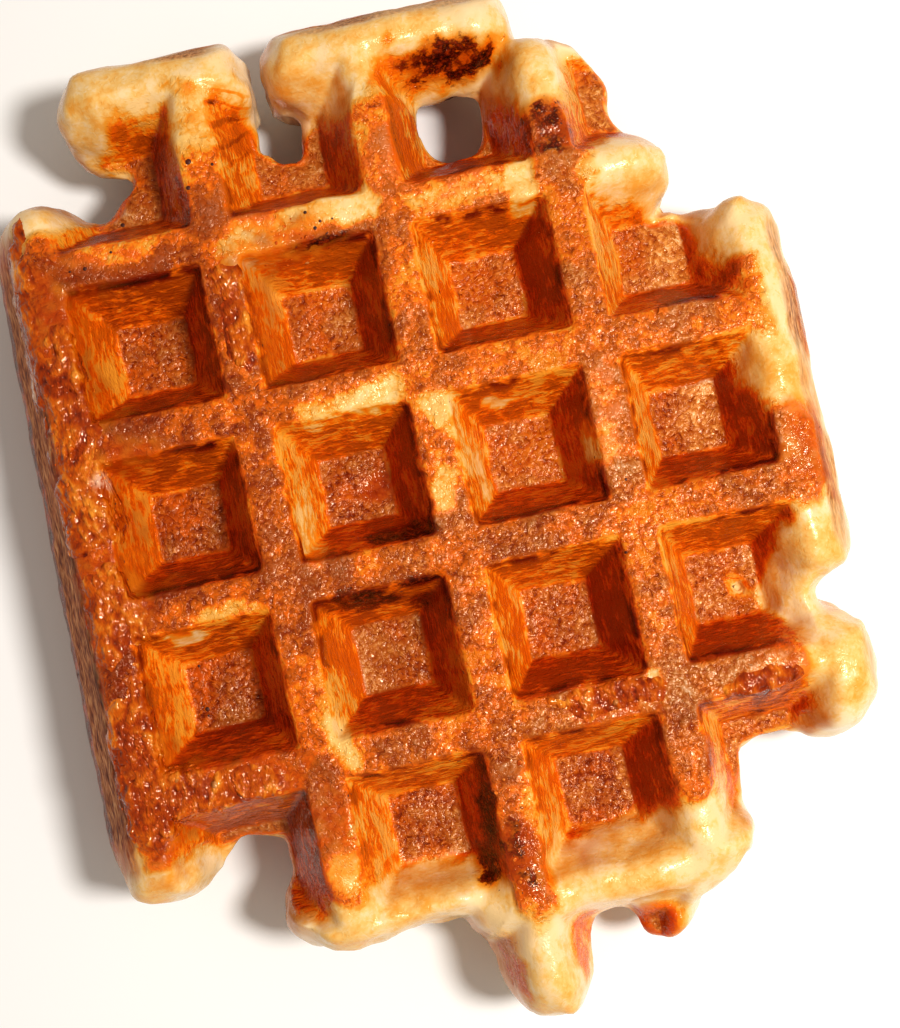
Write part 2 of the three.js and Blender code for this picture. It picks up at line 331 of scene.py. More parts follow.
@dataclass(frozen=True)
class Patch:
    """A round of dough in a web, or a lobe of it."""

    across: float
    down: float
    half_across: float
    half_down: float
    rise: float


@dataclass(frozen=True)
class Gap:
    """A gap that goes right through."""

    across: float
    down: float
    half_across: float
    half_down: float
    corner: float


@dataclass(frozen=True)
class Block:
    """A stretch that the dough filled from plate to plate, in pitches."""

    left: float
    right: float
    top: float
    bottom: float


DOWN_RUNS = (
    Run(0, 0.5, 4.64, 8, 15),
    Run(1, -0.4, 5.09, 8.2, 15),
    Run(2.01, -0.4, 5.73, 7.3, 14),
    Run(3.01, 0.11, 5.16, 8.5, 15),
    Run(4, 1.29, 3.6, 7.8, 15),
)
ACROSS_RUNS = (
    Run(0.05, 0.2, 1.35, 8, 12.2),
    Run(-0.02, 1.43, 2.98, 8.2, 12.8),
    Run(0.99, -0.4, 3.71, 8, 15),
    Run(2, -0.4, 4.5, 8.4, 15),
    Run(3, -0.4, 4.34, 8.4, 15),
    Run(4, -0.4, 4, 8.4, 15),
    Run(4.83, 0.58, 1.9, 5.6, 12.6),
    Run(4.99, 1.75, 3.12, 6.5, 12.8),
)
PATCHES = (
    Patch(0.84, 0.82, 11, 11, 15),  # web of the top left well
    Patch(1.2, 0.28, 4.8, 10, 9),  # strip beside the first ridge
    Patch(1.8, 0.26, 6, 8, 9),  # strip beside the second ridge
    Patch(1.5, 0.86, 11, 8.8, 9),  # web of the second well
    Patch(3.2, 0.4, 6.4, 7, 9),  # strip beside the third ridge
    Patch(3.33, 0.86, 6, 6.8, 12),  # web of the top right well
    Patch(3.72, 1.5, 6, 6.5, 6),  # web beside the right border
    Patch(3.82, 3.6, 4.4, 5, 9),  # web between the right lobes
    Patch(3.95, 4.1, 9, 9.9, 13.4),  # lower right lobe
    Patch(3.5, 4.29, 9, 3.2, 9),  # web under the lower lobe
    Patch(1.5, 4.5, 12, 12, 9),  # web of the second well below
    Patch(2.5, 4.5, 12, 12, 9),  # web of the third well below
    Patch(1.83, 5.08, 4.6, 5, 11),  # shoulder of the long tip
    Patch(2.74, 5.22, 5, 5.4, 7),  # tongue below the last ridge
)
BLOCKS = (Block(-0.6, 3.55, 0.95, 4.33), Block(3.4, 4, 1.34, 3.5))
GAPS = (
    Gap(2.46, 0.42, 3.8, 3.1, 2.2),  # hole
    Gap(1.41, 0, 1.25, 10, 1),  # slit
    Gap(1.5, 0.36, 2.4, 3.4, 2),  # foot of the slit
)


def ellipsoid(x: Array, y: Array, z: Array, rx: float, ry: float, rz: float) -> Array:
    """Nearly the distance to an ellipsoid about the origin.

    Args:
        x: Along X.
        y: Along Y.
        z: Over mid height.
        rx: Its half length along X.
        ry: Its half length along Y.
        rz: Its half height.

    Returns:
        The distance, negative inside.
    """
    level = np.sqrt((x / rx) ** 2 + (y / ry) ** 2 + (z / rz) ** 2)
    slope = np.sqrt((x / rx**2) ** 2 + (y / ry**2) ** 2 + (z / rz**2) ** 2)
    return np.where(slope < 1e-9, -min(rx, ry, rz), level * (level - 1) / np.maximum(slope, 1e-9))


@dataclass(frozen=True)
class Dough:
    """The dough's free surface, before the plates shape it."""

    lattice: Lattice
    tip_round: float = 7.5
    blend: float = 3
    edge_lump: float = 0.5
    lump_length: float = 15

    def _run(self, along: Array, off: Array, z: Array, run: Run) -> Array:
        """Distance to a run, `along` its length and `off` to its side.

        Args:
            along: Places along it, from the border.
            off: Places to its side.
            z: Over mid height.
            run: The run.

        Returns:
            The distance, negative inside.
        """
        start = run.start * self.lattice.pitch + self.tip_round
        end = run.end * self.lattice.pitch - self.tip_round
        past = np.maximum(np.maximum(start - along, along - end), 0)
        return ellipsoid(past, off, z, self.tip_round, run.half, run.rise)

    def distance(self, x: Array, y: Array, z: Array, gaps: Sequence[Gap] = GAPS) -> Array:
        """Distance to the free surface: negative in the dough.

        Args:
            x: Places along X.
            y: Places along Y.
            z: Heights over mid height.
            gaps: The gaps that count.

        Returns:
            The distance for each place.
        """
        grid = self.lattice
        pitch = grid.pitch
        across, down = x - grid.x_of(0), grid.y_of(0) - y
        shape = np.full(np.shape(x), np.inf)
        for block in BLOCKS:
            sides = (block.left * pitch - across, across - block.right * pitch,
                     block.top * pitch - down, down - block.bottom * pitch)
            shape = np.minimum(shape, np.maximum.reduce(sides))
        for run in DOWN_RUNS:
            bar = self._run(down, across - run.ridge * pitch, z, run)
            shape = smooth_min(shape, bar, self.blend)
        for run in ACROSS_RUNS:
            bar = self._run(across, down - run.ridge * pitch, z, run)
            shape = smooth_min(shape, bar, self.blend)
        for patch in PATCHES:
            dx, dy = across - patch.across * pitch, down - patch.down * pitch
            lobe = ellipsoid(dx, dy, z, patch.half_across, patch.half_down, patch.rise)
            shape = smooth_min(shape, lobe, self.blend)
        for gap in gaps:
            dx = np.abs(across - gap.across * pitch) - gap.half_across + gap.corner
            dy = np.abs(down - gap.down * pitch) - gap.half_down + gap.corner
            hole = np.hypot(np.maximum(dx, 0), np.maximum(dy, 0)) - gap.corner
            hole += np.minimum(np.maximum(dx, dy), 0)
            shape = np.maximum(shape, -hole)
        return shape + self.edge_lump * lumps(x, y, z, self.lump_length)


@dataclass(frozen=True)
class WaffleShape:
    """The whole waffle: dough, shaped by the plates and rounded at its edges."""

    plates: Plates
    dough: Dough
    rim_round: float = 2.2  # roundness where a free side meets a plate's face
    soft_rim: float = 2.6  # how much rounder that is in a lobe
    border_round: float = 1.2
    ragged: float = 0.35  # how far a torn web's edge wanders in and out
    ragged_length: float = 3.2
    edge_noise: Noise = field(default_factory=lambda: Noise(11))

    @property
    def lattice(self) -> Lattice:
        """The lattice of both plates."""
        return self.plates.lattice

    def height(self, x: Array, y: Array, level: Array) -> Array:
        """Height of a level between the plates, from -1 on the lower to 1 on the upper."""
        return level * np.where(level > 0, self.plates.upper(x, y), self.plates.lower(x, y))

    def sides(self, x: Array, y: Array, z: Array) -> Array:
        """Distance past the free edges or the border.

        Args:
            x: Along X.
            y: Along Y.
            z: Over mid height.

        Returns:
            The distance, negative inside.
        """
        free = self.dough.distance(x, y, z)
        points = np.stack([np.ravel(x), np.ravel(y), np.ravel(z)], axis=1)
        close = np.abs(np.ravel(free)) < 2 * self.ragged_length
        wander = np.zeros(len(points))
        wander[close] = self.edge_noise(points[close], self.ragged_length)
        free = free + self.ragged * wander.reshape(np.shape(x))
        return smooth_max(free, self.plates.border(x, y, z), self.border_round)

    def outside(self, x: Array, y: Array, z: Array) -> Array:
        """Distance past the waffle's surface: negative inside.

        Args:
            x: Along X.
            y: Along Y.
            z: Over mid height.

        Returns:
            The distance.
        """
        grid, rise = self.lattice, self.plates.rise(x, y)
        face = np.maximum(z - self.plates.upper(x, y), -z - self.plates.lower(x, y))
        on_wall = 4 * rise * (1 - rise)
        face = face / np.hypot(1, on_wall * grid.well_depth / grid.wall_run)
        rim = self.rim_round + self.soft_rim * self.plates.softness(x, y)
        return smooth_max(face, self.sides(x, y, z), rim)


# ---- The fine mesh ----
CORNERS = np.array([[n & 1, n >> 1 & 1, n >> 2 & 1] for n in range(8)])
EDGES = [(a, a | bit) for a in range(8) for bit in (1, 2, 4) if not a & bit]


@dataclass(frozen=True)
class Spacing:
    """How close the mesh's lines lie, in millimetres."""

    ridge: float = 0.78
    wall: float = 0.52
    floor: float = 0.88
    edge: float = 0.36  # at the edges between them
    edge_width: float = 0.55
    level: float = 0.084  # between levels, as a share of the half height
    first_level: float = 0.045
    tries: int = 2000  # places a pitch that are tried for the lines

    def lines(self, lattice: Lattice, start: float, end: float) -> Array:
        """Places of the lines along one axis.

        Args:
            lattice: The lattice they follow.
            start: First place, in pitches.
            end: Last place, in pitches.

        Returns:
            Places in pitches.
        """
        fine = np.linspace(start, end, int((end - start) * self.tries))
        off = np.abs(fine - np.round(fine)) * lattice.pitch
        ridge = lattice.ridge_flat / 2
        floor = ridge + lattice.wall_run
        step = np.where(off < ridge, self.ridge, np.where(off < floor, self.wall, self.floor))
        for edge in (ridge, floor):
            near = np.exp(-(((off - edge) / self.edge_width) ** 2))
            step = step + (self.edge - step) * near
        density = lattice.pitch / step
        count = np.concatenate([[0], np.cumsum((density[1:] + density[:-1]) / 2 * np.diff(fine))])
        return np.interp(np.arange(0, count[-1]), count, fine)

    def levels(self) -> Array:
        """Levels between the plates, from under the lower one to over the upper one.

        Returns:
            The levels, -1 on the lower plate and 1 on the upper.
        """
        half = np.arange(self.level / 2, 1 - self.first_level, self.level)
        half = np.concatenate([half[half < 1 - 1.5 * self.first_level],
                               [1 - self.first_level, 1 + self.first_level]])
        return np.concatenate([-half[::-1], half])


class FineMesh:
    """Meshes the waffle between the plates, with one point in each cell that it crosses."""

    SPAN_ACROSS = (-0.46, 4.46)
    SPAN_DOWN = (-0.46, 5.86)
    TOUCH_FILL = 0.05  # depth of the dough that joins two bodies
    MOVES = 5  # steps that bring a point onto the surface
    SLOPE_STEP = 0.02
    LEAST_SQUARE = 0.05  # of a slope that a point may be moved along
    LEAST_LIFT = 0.15  # of an upright slope that a point may be lifted along
    CELL_SHARE = 0.46  # how far from its middle a point may be moved, in cells

    def __init__(self, shape: WaffleShape, spacing: Spacing) -> None:
        """Lays out the lines.

        Args:
            shape: The shape to mesh.
            spacing: How close the lines lie.
        """
        self.shape = shape
        grid = shape.lattice
        self.xs = grid.x_of(spacing.lines(grid, *self.SPAN_ACROSS))
        self.ys = grid.y_of(spacing.lines(grid, *self.SPAN_DOWN))[::-1]
        self.levels = spacing.levels()

    def _measure(self) -> Array:
        """Distance past the surface at every corner of the cells.

        Returns:
            The distances, along X, Y and the levels.
        """
        x, y = np.meshgrid(self.xs, self.ys, indexing="ij")
        upper, lower = self.shape.plates.upper(x, y), self.shape.plates.lower(x, y)
        values = np.empty((len(self.xs), len(self.ys), len(self.levels)))
        for k, level in enumerate(self.levels):
            z = level * (upper if level > 0 else lower)
            values[:, :, k] = self.shape.outside(x, y, z)
        self._join_touching(values)
        return values

    def _join_touching(self, values: Array) -> None:
        """Fills in dough where two bodies of it would meet at no more than an edge.

        Args:
            values: Distance past the surface at each corner, which is changed.
        """
        steps = np.eye(3, dtype=int)
        for one, two in ((0, 1), (1, 2), (2, 0)):
            inside = values < 0
            low = [slice(0, -1) if axis in (one, two) else slice(None) for axis in range(3)]
            high_one, high_two, high = list(low), list(low), list(low)
            high_one[one] = high[one] = slice(1, None)
            high_two[two] = high[two] = slice(1, None)
            a, b = inside[tuple(low)], inside[tuple(high)]
            c, d = inside[tuple(high_one)], inside[tuple(high_two)]
            for node in np.argwhere((a == b) & (c == d) & (a != c)):
                ring = [node, node + steps[one] + steps[two], node + steps[one], node + steps[two]]
                gap = [tuple(corner) for corner in ring if values[tuple(corner)] >= 0]
                if gap:
                    values[min(gap, key=lambda corner: values[corner])] = -self.TOUCH_FILL

    def _slope(self, x: Array, y: Array, z: Array) -> tuple[Array, ...]:
        """Value and slopes of the distance at each place.

        Args:
            x: Along X.
            y: Along Y.
            z: Over mid height.

        Returns:
            The distance, and its slope along X, Y and Z.
        """
        h, outside = self.SLOPE_STEP, self.shape.outside
        value = outside(x, y, z)
        gx = (outside(x + h, y, z) - outside(x - h, y, z)) / (2 * h)
        gy = (outside(x, y + h, z) - outside(x, y - h, z)) / (2 * h)
        gz = (outside(x, y, z + h) - outside(x, y, z - h)) / (2 * h)
        return value, gx, gy, gz

    def _points(self, values: Array, cells: Array) -> Array:
        """The waffle's point in each crossed cell.

        Args:
            values: Distance past the surface at each corner.
            cells: The cells, one a row.

        Returns:
            One point a cell, with heights from mid height.
        """
        corner_values = np.stack([values[tuple((cells + c).T)] for c in CORNERS], axis=1)
        total, count = np.zeros((len(cells), 3)), np.zeros(len(cells))
        upright = np.zeros(len(cells))
        for a, b in EDGES:
            one, two = corner_values[:, a], corner_values[:, b]
            cross = (one < 0) != (two < 0)
            part = np.where(cross, one / np.where(cross, one - two, 1), 0)
            place = CORNERS[a] + part[:, None] * (CORNERS[b] - CORNERS[a])
            total += np.where(cross[:, None], place, 0)
            count += cross
            upright += cross & (b - a == 4)
        mean = total / count[:, None]

        def place_on(lines: Array, axis: int) -> Array:
            """Turns a share of a cell into a place on its axis."""
            n = cells[:, axis]
            return lines[n] + mean[:, axis] * (lines[n + 1] - lines[n])

        x, y, level = place_on(self.xs, 0), place_on(self.ys, 1), place_on(self.levels, 2)
        flat = upright == count
        x = np.where(flat, (self.xs[cells[:, 0]] + self.xs[cells[:, 0] + 1]) / 2, x)
        y = np.where(flat, (self.ys[cells[:, 1]] + self.ys[cells[:, 1] + 1]) / 2, y)
        z = self.shape.height(x, y, level)
        x, y, z = self._settle(x, y, z, flat, cells)
        return np.stack([x, y, z], axis=1)

    def _settle(self, x: Array, y: Array, z: Array, flat: Array,
                cells: Array) -> tuple[Array, Array, Array]:
        """Moves points onto the surface: straight up on a face, down the slope on a side.

        Args:
            x: Along X.
            y: Along Y.
            z: Over mid height.
            flat: Whether the surface lies on a plate's face there.
            cells: The cell of each point.

        Returns:
            The places along X and Y, and the heights.
        """
        bounds = []
        for lines, axis in ((self.xs, 0), (self.ys, 1)):
            low, high = lines[cells[:, axis]], lines[cells[:, axis] + 1]
            middle, reach = (low + high) / 2, self.CELL_SHARE * (high - low)
            bounds.append((middle - reach, middle + reach))
        low_level, high_level = self.levels[cells[:, 2]], self.levels[cells[:, 2] + 1]
        for _ in range(self.MOVES):
            value, gx, gy, gz = self._slope(x, y, z)
            square = np.maximum(gx**2 + gy**2 + gz**2, self.LEAST_SQUARE)
            upright = np.abs(gz) > self.LEAST_LIFT
            lift = np.where(upright, value / np.where(upright, gz, 1), 0)
            x = np.where(flat, x, np.clip(x - value * gx / square, *bounds[0]))
            y = np.where(flat, y, np.clip(y - value * gy / square, *bounds[1]))
            z = np.where(flat, z - np.clip(lift, -1, 1), z - value * gz / square)
            low = self.shape.height(x, y, np.clip(low_level, -1, 1))
            high = self.shape.height(x, y, np.clip(high_level, -1, 1))
            z = np.clip(z, low, high)
        return x, y, z

    def build(self) -> tuple[Array, Array]:
        """Builds the mesh.

        Returns:
            The points, with heights from mid height, and the four corners of each face.
        """
        values = self._measure()
        inside = values < 0
        shape = tuple(n - 1 for n in values.shape)
        near = np.zeros(shape, int)
        for a, b, c in CORNERS:
            near += inside[a:a + shape[0], b:b + shape[1], c:c + shape[2]]
        cells = np.argwhere((near > 0) & (near < 8))
        ids = np.full(shape, -1)
        ids[tuple(cells.T)] = np.arange(len(cells))
        points = self._points(values, cells)
        faces = []
        for axis in range(3):
            ahead = np.roll(inside, -1, axis=axis)
            one, two = np.eye(3, dtype=int)[(axis + 1) % 3], np.eye(3, dtype=int)[(axis + 2) % 3]
            nodes = np.argwhere(inside != ahead)
            keep = (nodes >= one + two).all(axis=1) & (nodes < np.array(shape)).all(axis=1)
            nodes = nodes[keep]
            ring = [nodes - one - two, nodes - two, nodes, nodes - one]
            face = np.stack([ids[tuple(cell.T)] for cell in ring], axis=1)
            turned = ~inside[tuple(nodes.T)]
            face[turned] = face[turned, ::-1]
            faces.append(face)
        return points, np.concatenate(faces)


def point_normals(points: Array, faces: Array) -> Array:
    """Outward normal at each point, weighted by the size of the faces round it.

    Args:
        points: Points, one a row.
        faces: Corners of each face.

    Returns:
        Unit normals, one a row.
    """
    corners = points[faces]
    face_normals = np.cross(corners[:, 2] - corners[:, 0], corners[:, 3] - corners[:, 1])
    normals = np.zeros_like(points)
    for axis in range(3):
        for corner in range(4):
            normals[:, axis] += np.bincount(faces[:, corner], face_normals[:, axis], len(points))
    return normals / np.maximum(np.linalg.norm(normals, axis=1, keepdims=True), 1e-12)


# ---- How the crust baked, and the shade painted on it ----
Range = tuple[float, float]  # where a ramp starts, and where it is full


@dataclass(frozen=True)
class Spot:
    """A place where the crust differs from what is round it."""

    across: float
    down: float
    depth: float  # under the ridge tops, in millimetres
    long: float  # half lengths, in millimetres
    wide: float
    tall: float = 5
    turn: float = 0  # of the long axis from across, in degrees
    amount: float = 1


def spots(*rows: tuple[float, ...]) -> tuple[Spot, ...]:
    """Makes spots from rows of their values, in the order of a spot's fields."""
    return tuple(Spot(*row) for row in rows)


PALE_SPOTS = spots(
    # first lobe
    (0.80, -0.14, 2, 15, 4.6, 14), (1.18, -0.05, 2, 6, 3.8, 9), (0.35, 0.12, 3, 3.8, 5.5, 9),
    # second lobe
    (2.15, -0.10, 1, 18, 5.4, 14), (1.64, 0.10, 3, 5.6, 7.2, 12), (1.95, 0.14, 0.5, 4.2, 5.2, 3),
    (0.98, 0.22, 0, 4.2, 6.0, 4, 0, 0.6), (2.83, 0.14, 3, 3.4, 6.2, 12),
    # knobs at the top right
    (2.98, 0.36, 1.5, 4.8, 6.4, 8), (3.43, 1.02, 2, 7.4, 5.2, 10), (3.98, 1.50, 3, 7.2, 5.0, 10),
    # right border
    (4.14, 1.86, 2, 3.6, 9, 9), (4.04, 2.33, 2, 6.2, 5.8, 9), (4.03, 3.42, 2, 7.0, 6.6, 12),
    (3.84, 3.62, 8, 4.4, 4.2, 6), (4.06, 4.06, 3, 6.6, 8.4, 12),
    # lower edge
    (2.72, 4.94, 4, 11.5, 6.2, 14), (3.08, 4.90, 2, 5.6, 6.8, 12), (1.98, 5.44, 2, 6.4, 8.6, 8),
    (1.78, 4.98, 5, 3.4, 5.0, 6), (2.24, 4.96, 5, 3.2, 4.2, 6), (1.20, 4.98, 4, 13, 5.4, 14),
    (1.46, 4.80, 6, 7.0, 3.4, 8), (0.03, 4.52, 4, 8.0, 3.8, 14),
    (-0.03, 0.66, 2, 5.2, 2.4, 9, 0, 0.85),
)
STREAK_SPOTS = spots(
    (1.80, 0.96, 0, 4.4, 2.8, 3.5, 0, 0.7), (1.22, 1.07, 1, 4.6, 3.4, 4, 0, 0.6),
    (1.50, 0.98, 0, 8.5, 2.1, 2.5, 5, 0.55), (2.77, 1.02, 1, 2.3, 5.4, 7, 0, 0.7),
    (2.45, 1.0, 1, 8.0, 1.9, 3, 5, 0.45), (1.72, 2.05, 1, 4.6, 2.6, 4, 8, 0.7),
    (1.45, 2.08, 2, 5.0, 1.8, 4, 8, 0.4), (2.05, 2.17, 0, 2.6, 3.6, 3, 0, 0.5),
    (2.41, 2.19, 5.5, 3.0, 1.3, 1.8), (1.98, 2.66, 0, 2.0, 3.0, 2.5, 0, 0.65),
    (2.23, 2.54, 5.5, 1.3, 2.4, 2.6), (2.23, 2.70, 6.5, 1.3, 1.5, 2.4),
    (2.14, 2.4, 3, 1.6, 5.0, 4, 0, 0.35), (1.20, 2.72, 3, 1.9, 5.5, 4, 0, 0.5),
    (2.91, 2.56, 2, 2.8, 3.8, 5, 40, 0.5), (2.97, 2.3, 1, 2.5, 5.0, 5, 0, 0.25),
    (0.41, 3.16, 3, 2.8, 1.5, 3, 0, 0.8), (0.62, 3.06, 2, 5.5, 1.3, 3, 0, 0.45),
    (1.13, 3.90, 1, 1.4, 4.4, 4, 15, 0.55), (2.91, 3.92, 0, 1.1, 1.6, 2, 0, 0.8),
    (1.0, 4.62, 0, 2.2, 3.4, 3, 0, 0.65), (1.0, 1.6, 1, 2.0, 7.0, 3, 0, 0.3),
    (0.45, 0.95, 0, 7.0, 1.6, 3, 0, 0.35),
)
BROWN_SPOTS = spots(
    (0.66, 0.24, 6, 4.4, 2.4, 4, 0, 0.15), (1.24, 0.26, 5, 3.4, 6.4, 8, 0, 0.2),
    (2.40, 0.22, 5, 9.5, 3.8, 6, 4, 0.36), (1.79, 5.33, 6.5, 2.4, 5.6, 5, 0, 0.55),
    (2.26, 5.33, 8, 2.6, 5.6, 6, 0, 0.5), (2.70, 5.34, 10, 4.0, 4.0, 6, 0, 0.35),
    (2.22, 0.05, 0.3, 1.4, 1.6, 1.5, 0, 0.7), (2.98, 4.48, 0, 4.5, 3.4, 3),
    (2.0, 4.76, 0, 2.8, 7.0, 3, 0, 0.92),
)
CHAR_SPOTS = spots(
    (2.52, 0.19, 5, 7.4, 3.2, 4.6, 4, 0.9), (2.72, 0.19, 5.5, 2.6, 2.6, 3),
    (2.36, 0.16, 3.4, 3.4, 1.4, 1.6, 4, 0.9), (3.0, 0.74, 0.5, 3.6, 5.0, 4, 0, 0.85),
    (1.70, 2.83, 4, 4.6, 1.8, 4.4), (1.40, 3.15, 3.6, 4.8, 2.6, 4.8),
    (1.76, 3.22, 8, 2.6, 1.8, 3.0, 0, 0.7), (1.72, 3.12, 0.8, 4.0, 1.0, 1.6, 6, 0.85),
    (1.83, 4.45, 4, 1.8, 5.0, 4.6), (1.96, 4.68, 0, 2.6, 7.0, 3, 0, 0.66),
    (1.80, 4.76, 5, 1.8, 3.4, 4.6, 0, 0.9), (2.04, 0.41, 0, 1.0, 0.8, 1.5),
    (1.60, 1.11, 1.2, 4.4, 0.6, 1.5, 6), (1.16, 0.17, 2.4, 1.1, 0.5, 2),
    (0.86, 2.10, 2, 3.5, 0.8, 2, 6, 0.5), (3.0, 1.2, 3, 1.6, 3.0, 5, 0, 0.4),
    (3.55, 4.22, 6, 6.0, 2.0, 5, 10, 0.5),
)
AMBER_SPOTS = spots(
    (1.50, 1.0, 0, 12, 3.2, 3, 4), (0.45, 0.98, 0, 9, 2.6, 2.5, 4, 0.7),
    (2.0, 1.4, 0, 2.6, 8, 2.5, 0, 0.95), (2.0, 2.35, 0, 2.8, 9, 3, 0, 0.8),
    (2.45, 1.98, 0, 9, 2.6, 2.5, 4, 0.7), (1.55, 2.05, 0, 9, 2.8, 3, 4, 0.8),
    (3.0, 2.35, 0, 2.6, 9, 3, 0, 0.8), (0.3, 2.05, 0, 6, 2.8, 3, 0, 0.6),
    (1.0, 2.75, 0, 2.4, 8, 3, 0, 0.5), (0.3, 3.1, 1, 5, 2.6, 3, 0, 0.7),
    (2.95, 3.0, 0, 5, 2.6, 3, 0, 0.6), (1.1, 3.85, 0, 3, 8, 3, 0, 0.7),
    (3.45, 2.0, 0, 8, 2.2, 2, 4, 0.35), (2.5, 0.98, 0, 10, 2.6, 2.5, 4, 0.6),
    (4.05, 2.9, 0, 3, 7, 3, 0, 0.6),
)
DIM_SPOTS = spots(
    (1.5, 1.5, 11, 6, 6, 4, 0, 0.3), (0.5, 2.5, 11, 6, 6, 4, 0, 0.5),
    (1.5, 2.5, 11, 6, 6, 4, 0, 0.95), (3.5, 2.5, 11, 6, 6, 4, 0, 0.8),
    (0.5, 3.5, 11, 6, 6, 4, 0, 0.5), (1.5, 3.5, 11, 6, 6, 4, 0, 0.8),
    (2.5, 3.5, 11, 6, 6, 4, 0, 0.6), (3.5, 3.5, 11, 6, 6, 4, 0, 0.2),
    (1.5, 4.5, 11, 6, 6, 4, 0, 0.9), (2.5, 4.5, 11, 6, 6, 4, 0, 1.2),
    (2.6, 3.0, 0, 14, 3.6, 3, 4, 0.5), (3.5, 3.0, 0, 9, 3.6, 3, 4, 0.4),
    (1.9, 3.9, 0, 3.4, 12, 3, 0, 0.5), (3.0, 4.3, 0, 3.4, 9, 3, 0, 0.8),
)
VEIN_SPOTS = spots(
    (1.22, 0.34, 5, 3.4, 8.0, 7),
)
FILM_SPOTS = spots(
    (-0.16, 1.3, 1.5, 2.6, 15, 3.6), (0.02, 1.75, 0, 3.4, 9.5, 4), (0.06, 2.35, 0, 5.5, 6.5, 5),
    (0.04, 2.95, 0, 3.6, 6.5, 3), (0.0, 3.6, 0, 4.0, 5.5, 3), (0.08, 4.02, 0, 5.4, 7.0, 3),
    (0.42, 4.02, 0, 7.6, 2.6, 3), (1.02, 1.5, 0, 2.4, 7.0, 3), (2.62, 3.97, 0, 7.4, 2.0, 2.4),
    (3.50, 4.08, 0, 5.0, 2.0, 3),
)
LACE_SPOTS = spots(
    (-0.19, 1.2, 2.2, 1.0, 15, 3.6, 0, 0.6), (0.12, 2.22, 0, 1.8, 1.4, 4, 0, 0.5),
)
BEAD_SPOTS = spots(
    (0.05, 2.3, 0, 6, 8, 5, 0, 0.5), (0.0, 1.9, 0, 4, 10, 4, 0, 0.35), (0.10, 3.95, 0, 6, 9, 4),
    (0.45, 4.02, 0, 9, 3.0, 3.5), (2.62, 3.98, 0, 7, 2.6, 3), (2.0, 4.6, 0, 2.6, 9, 3, 0, 0.5),
    (1.0, 1.55, 0, 2.8, 6, 4, 0, 0.5), (3.5, 4.1, 0, 6, 3, 4, 0, 0.4),
    (1.5, 1.1, 3, 8, 4, 5, 0, 0.3),
)
# Pinholes, each marked by a dark speck: painted shade of the small pit.
PINHOLES = spots(
    (0.26, 1.0, 0, 0.34, 0.34), (0.18, 1.01, 0, 0.22, 0.22), (0.42, 0.94, 0, 0.24, 0.24),
    (0.45, 0.68, 10, 0.4, 0.4), (1.52, 0.96, 0, 0.3, 0.3), (1.61, 1.0, 0, 0.26, 0.26),
    (1.58, 1.05, 0, 0.34, 0.34), (1.67, 1.02, 0, 0.2, 0.2), (0.93, 0.67, 0, 0.4, 0.3),
    (0.94, 0.54, 0, 0.5, 0.26), (1.08, 0.56, 0, 0.3, 0.24), (0.39, 3.33, 10, 0.26, 0.26),
    (0.38, 3.58, 10, 0.4, 0.3), (0.4, 3.62, 10, 0.2, 0.2), (0.02, 3.54, 0, 0.26, 0.26),
    (3.0, 2.8, 0, 0.26, 0.26), (2.2, 1.5, 3, 0.3, 0.3), (2.9, 3.2, 0, 0.24, 0.24),
)
GLAZE_SPOTS = spots(
    (0.06, 1.5, 0, 6.5, 13, 7), (0.12, 2.25, 0, 9.0, 7.0, 7), (0.08, 2.8, 0, 5.5, 8, 7),
    (0.12, 3.95, 0, 6.0, 13, 8), (0.55, 4.02, 0, 8, 4.5, 5), (0.25, 2.5, 3, 6, 9, 7, 0, 0.8),
    (1.35, 1.15, 1, 8, 4.5, 5), (1.20, 1.5, 4, 3, 9, 6, 0, 0.7), (1.66, 2.52, 11, 3.0, 2.4, 3),
    (2.67, 3.99, 0, 7, 3.0, 3), (3.63, 4.05, 0, 5, 3.0, 3), (4.04, 2.8, 1, 3, 7, 4, 0, 0.8),
    (3.02, 0.76, 0.5, 3, 5, 4), (2.5, 0.19, 5, 7, 3, 5, 0, 0.7), (1.0, 4.3, 0, 3, 6, 4, 0, 0.7),
    (1.98, 4.74, 0, 2.8, 6.4, 3),
)


class Layer(str, Enum):
    """Names of the values that the crust's mesh carries for its finish."""

    # browning, with painted shade on walls that face away from the light
    BAKE_AND_SHADE = "bake_and_shade"
    CHAR = "char"
    # plate-pressed tan, with painted sheen that grows towards the right
    PLATE_AND_SHEEN = "plate"
    WALL_X = "wall_across"
    WALL_Y = "wall_down"
    GLAZE = "glaze"
    BAND = "side_band"
    SEAM = "band_seam"
    LIP = "wall_lip"
    VEIN = "veins"
    LACE = "lace"
    # painted shade on walls that face away from the light
    SHADED_WALL = "shaded_wall"


@dataclass(frozen=True)
class Touch:
    """How the plates met each point of the crust: from 0 to 1 where no unit is given."""

    rise: Array
    face_gap: Array  # to the nearer plate's face, in millimetres
    border_gap: Array  # to the slanted border, in millimetres
    filled: Array  # dough enough to reach the plates
    border: Array  # on the border
    pressed: Array  # against a plate
    flat: Array  # on a floor or a ridge top
    steep: Array  # on a wall
    high: Array  # on a ridge


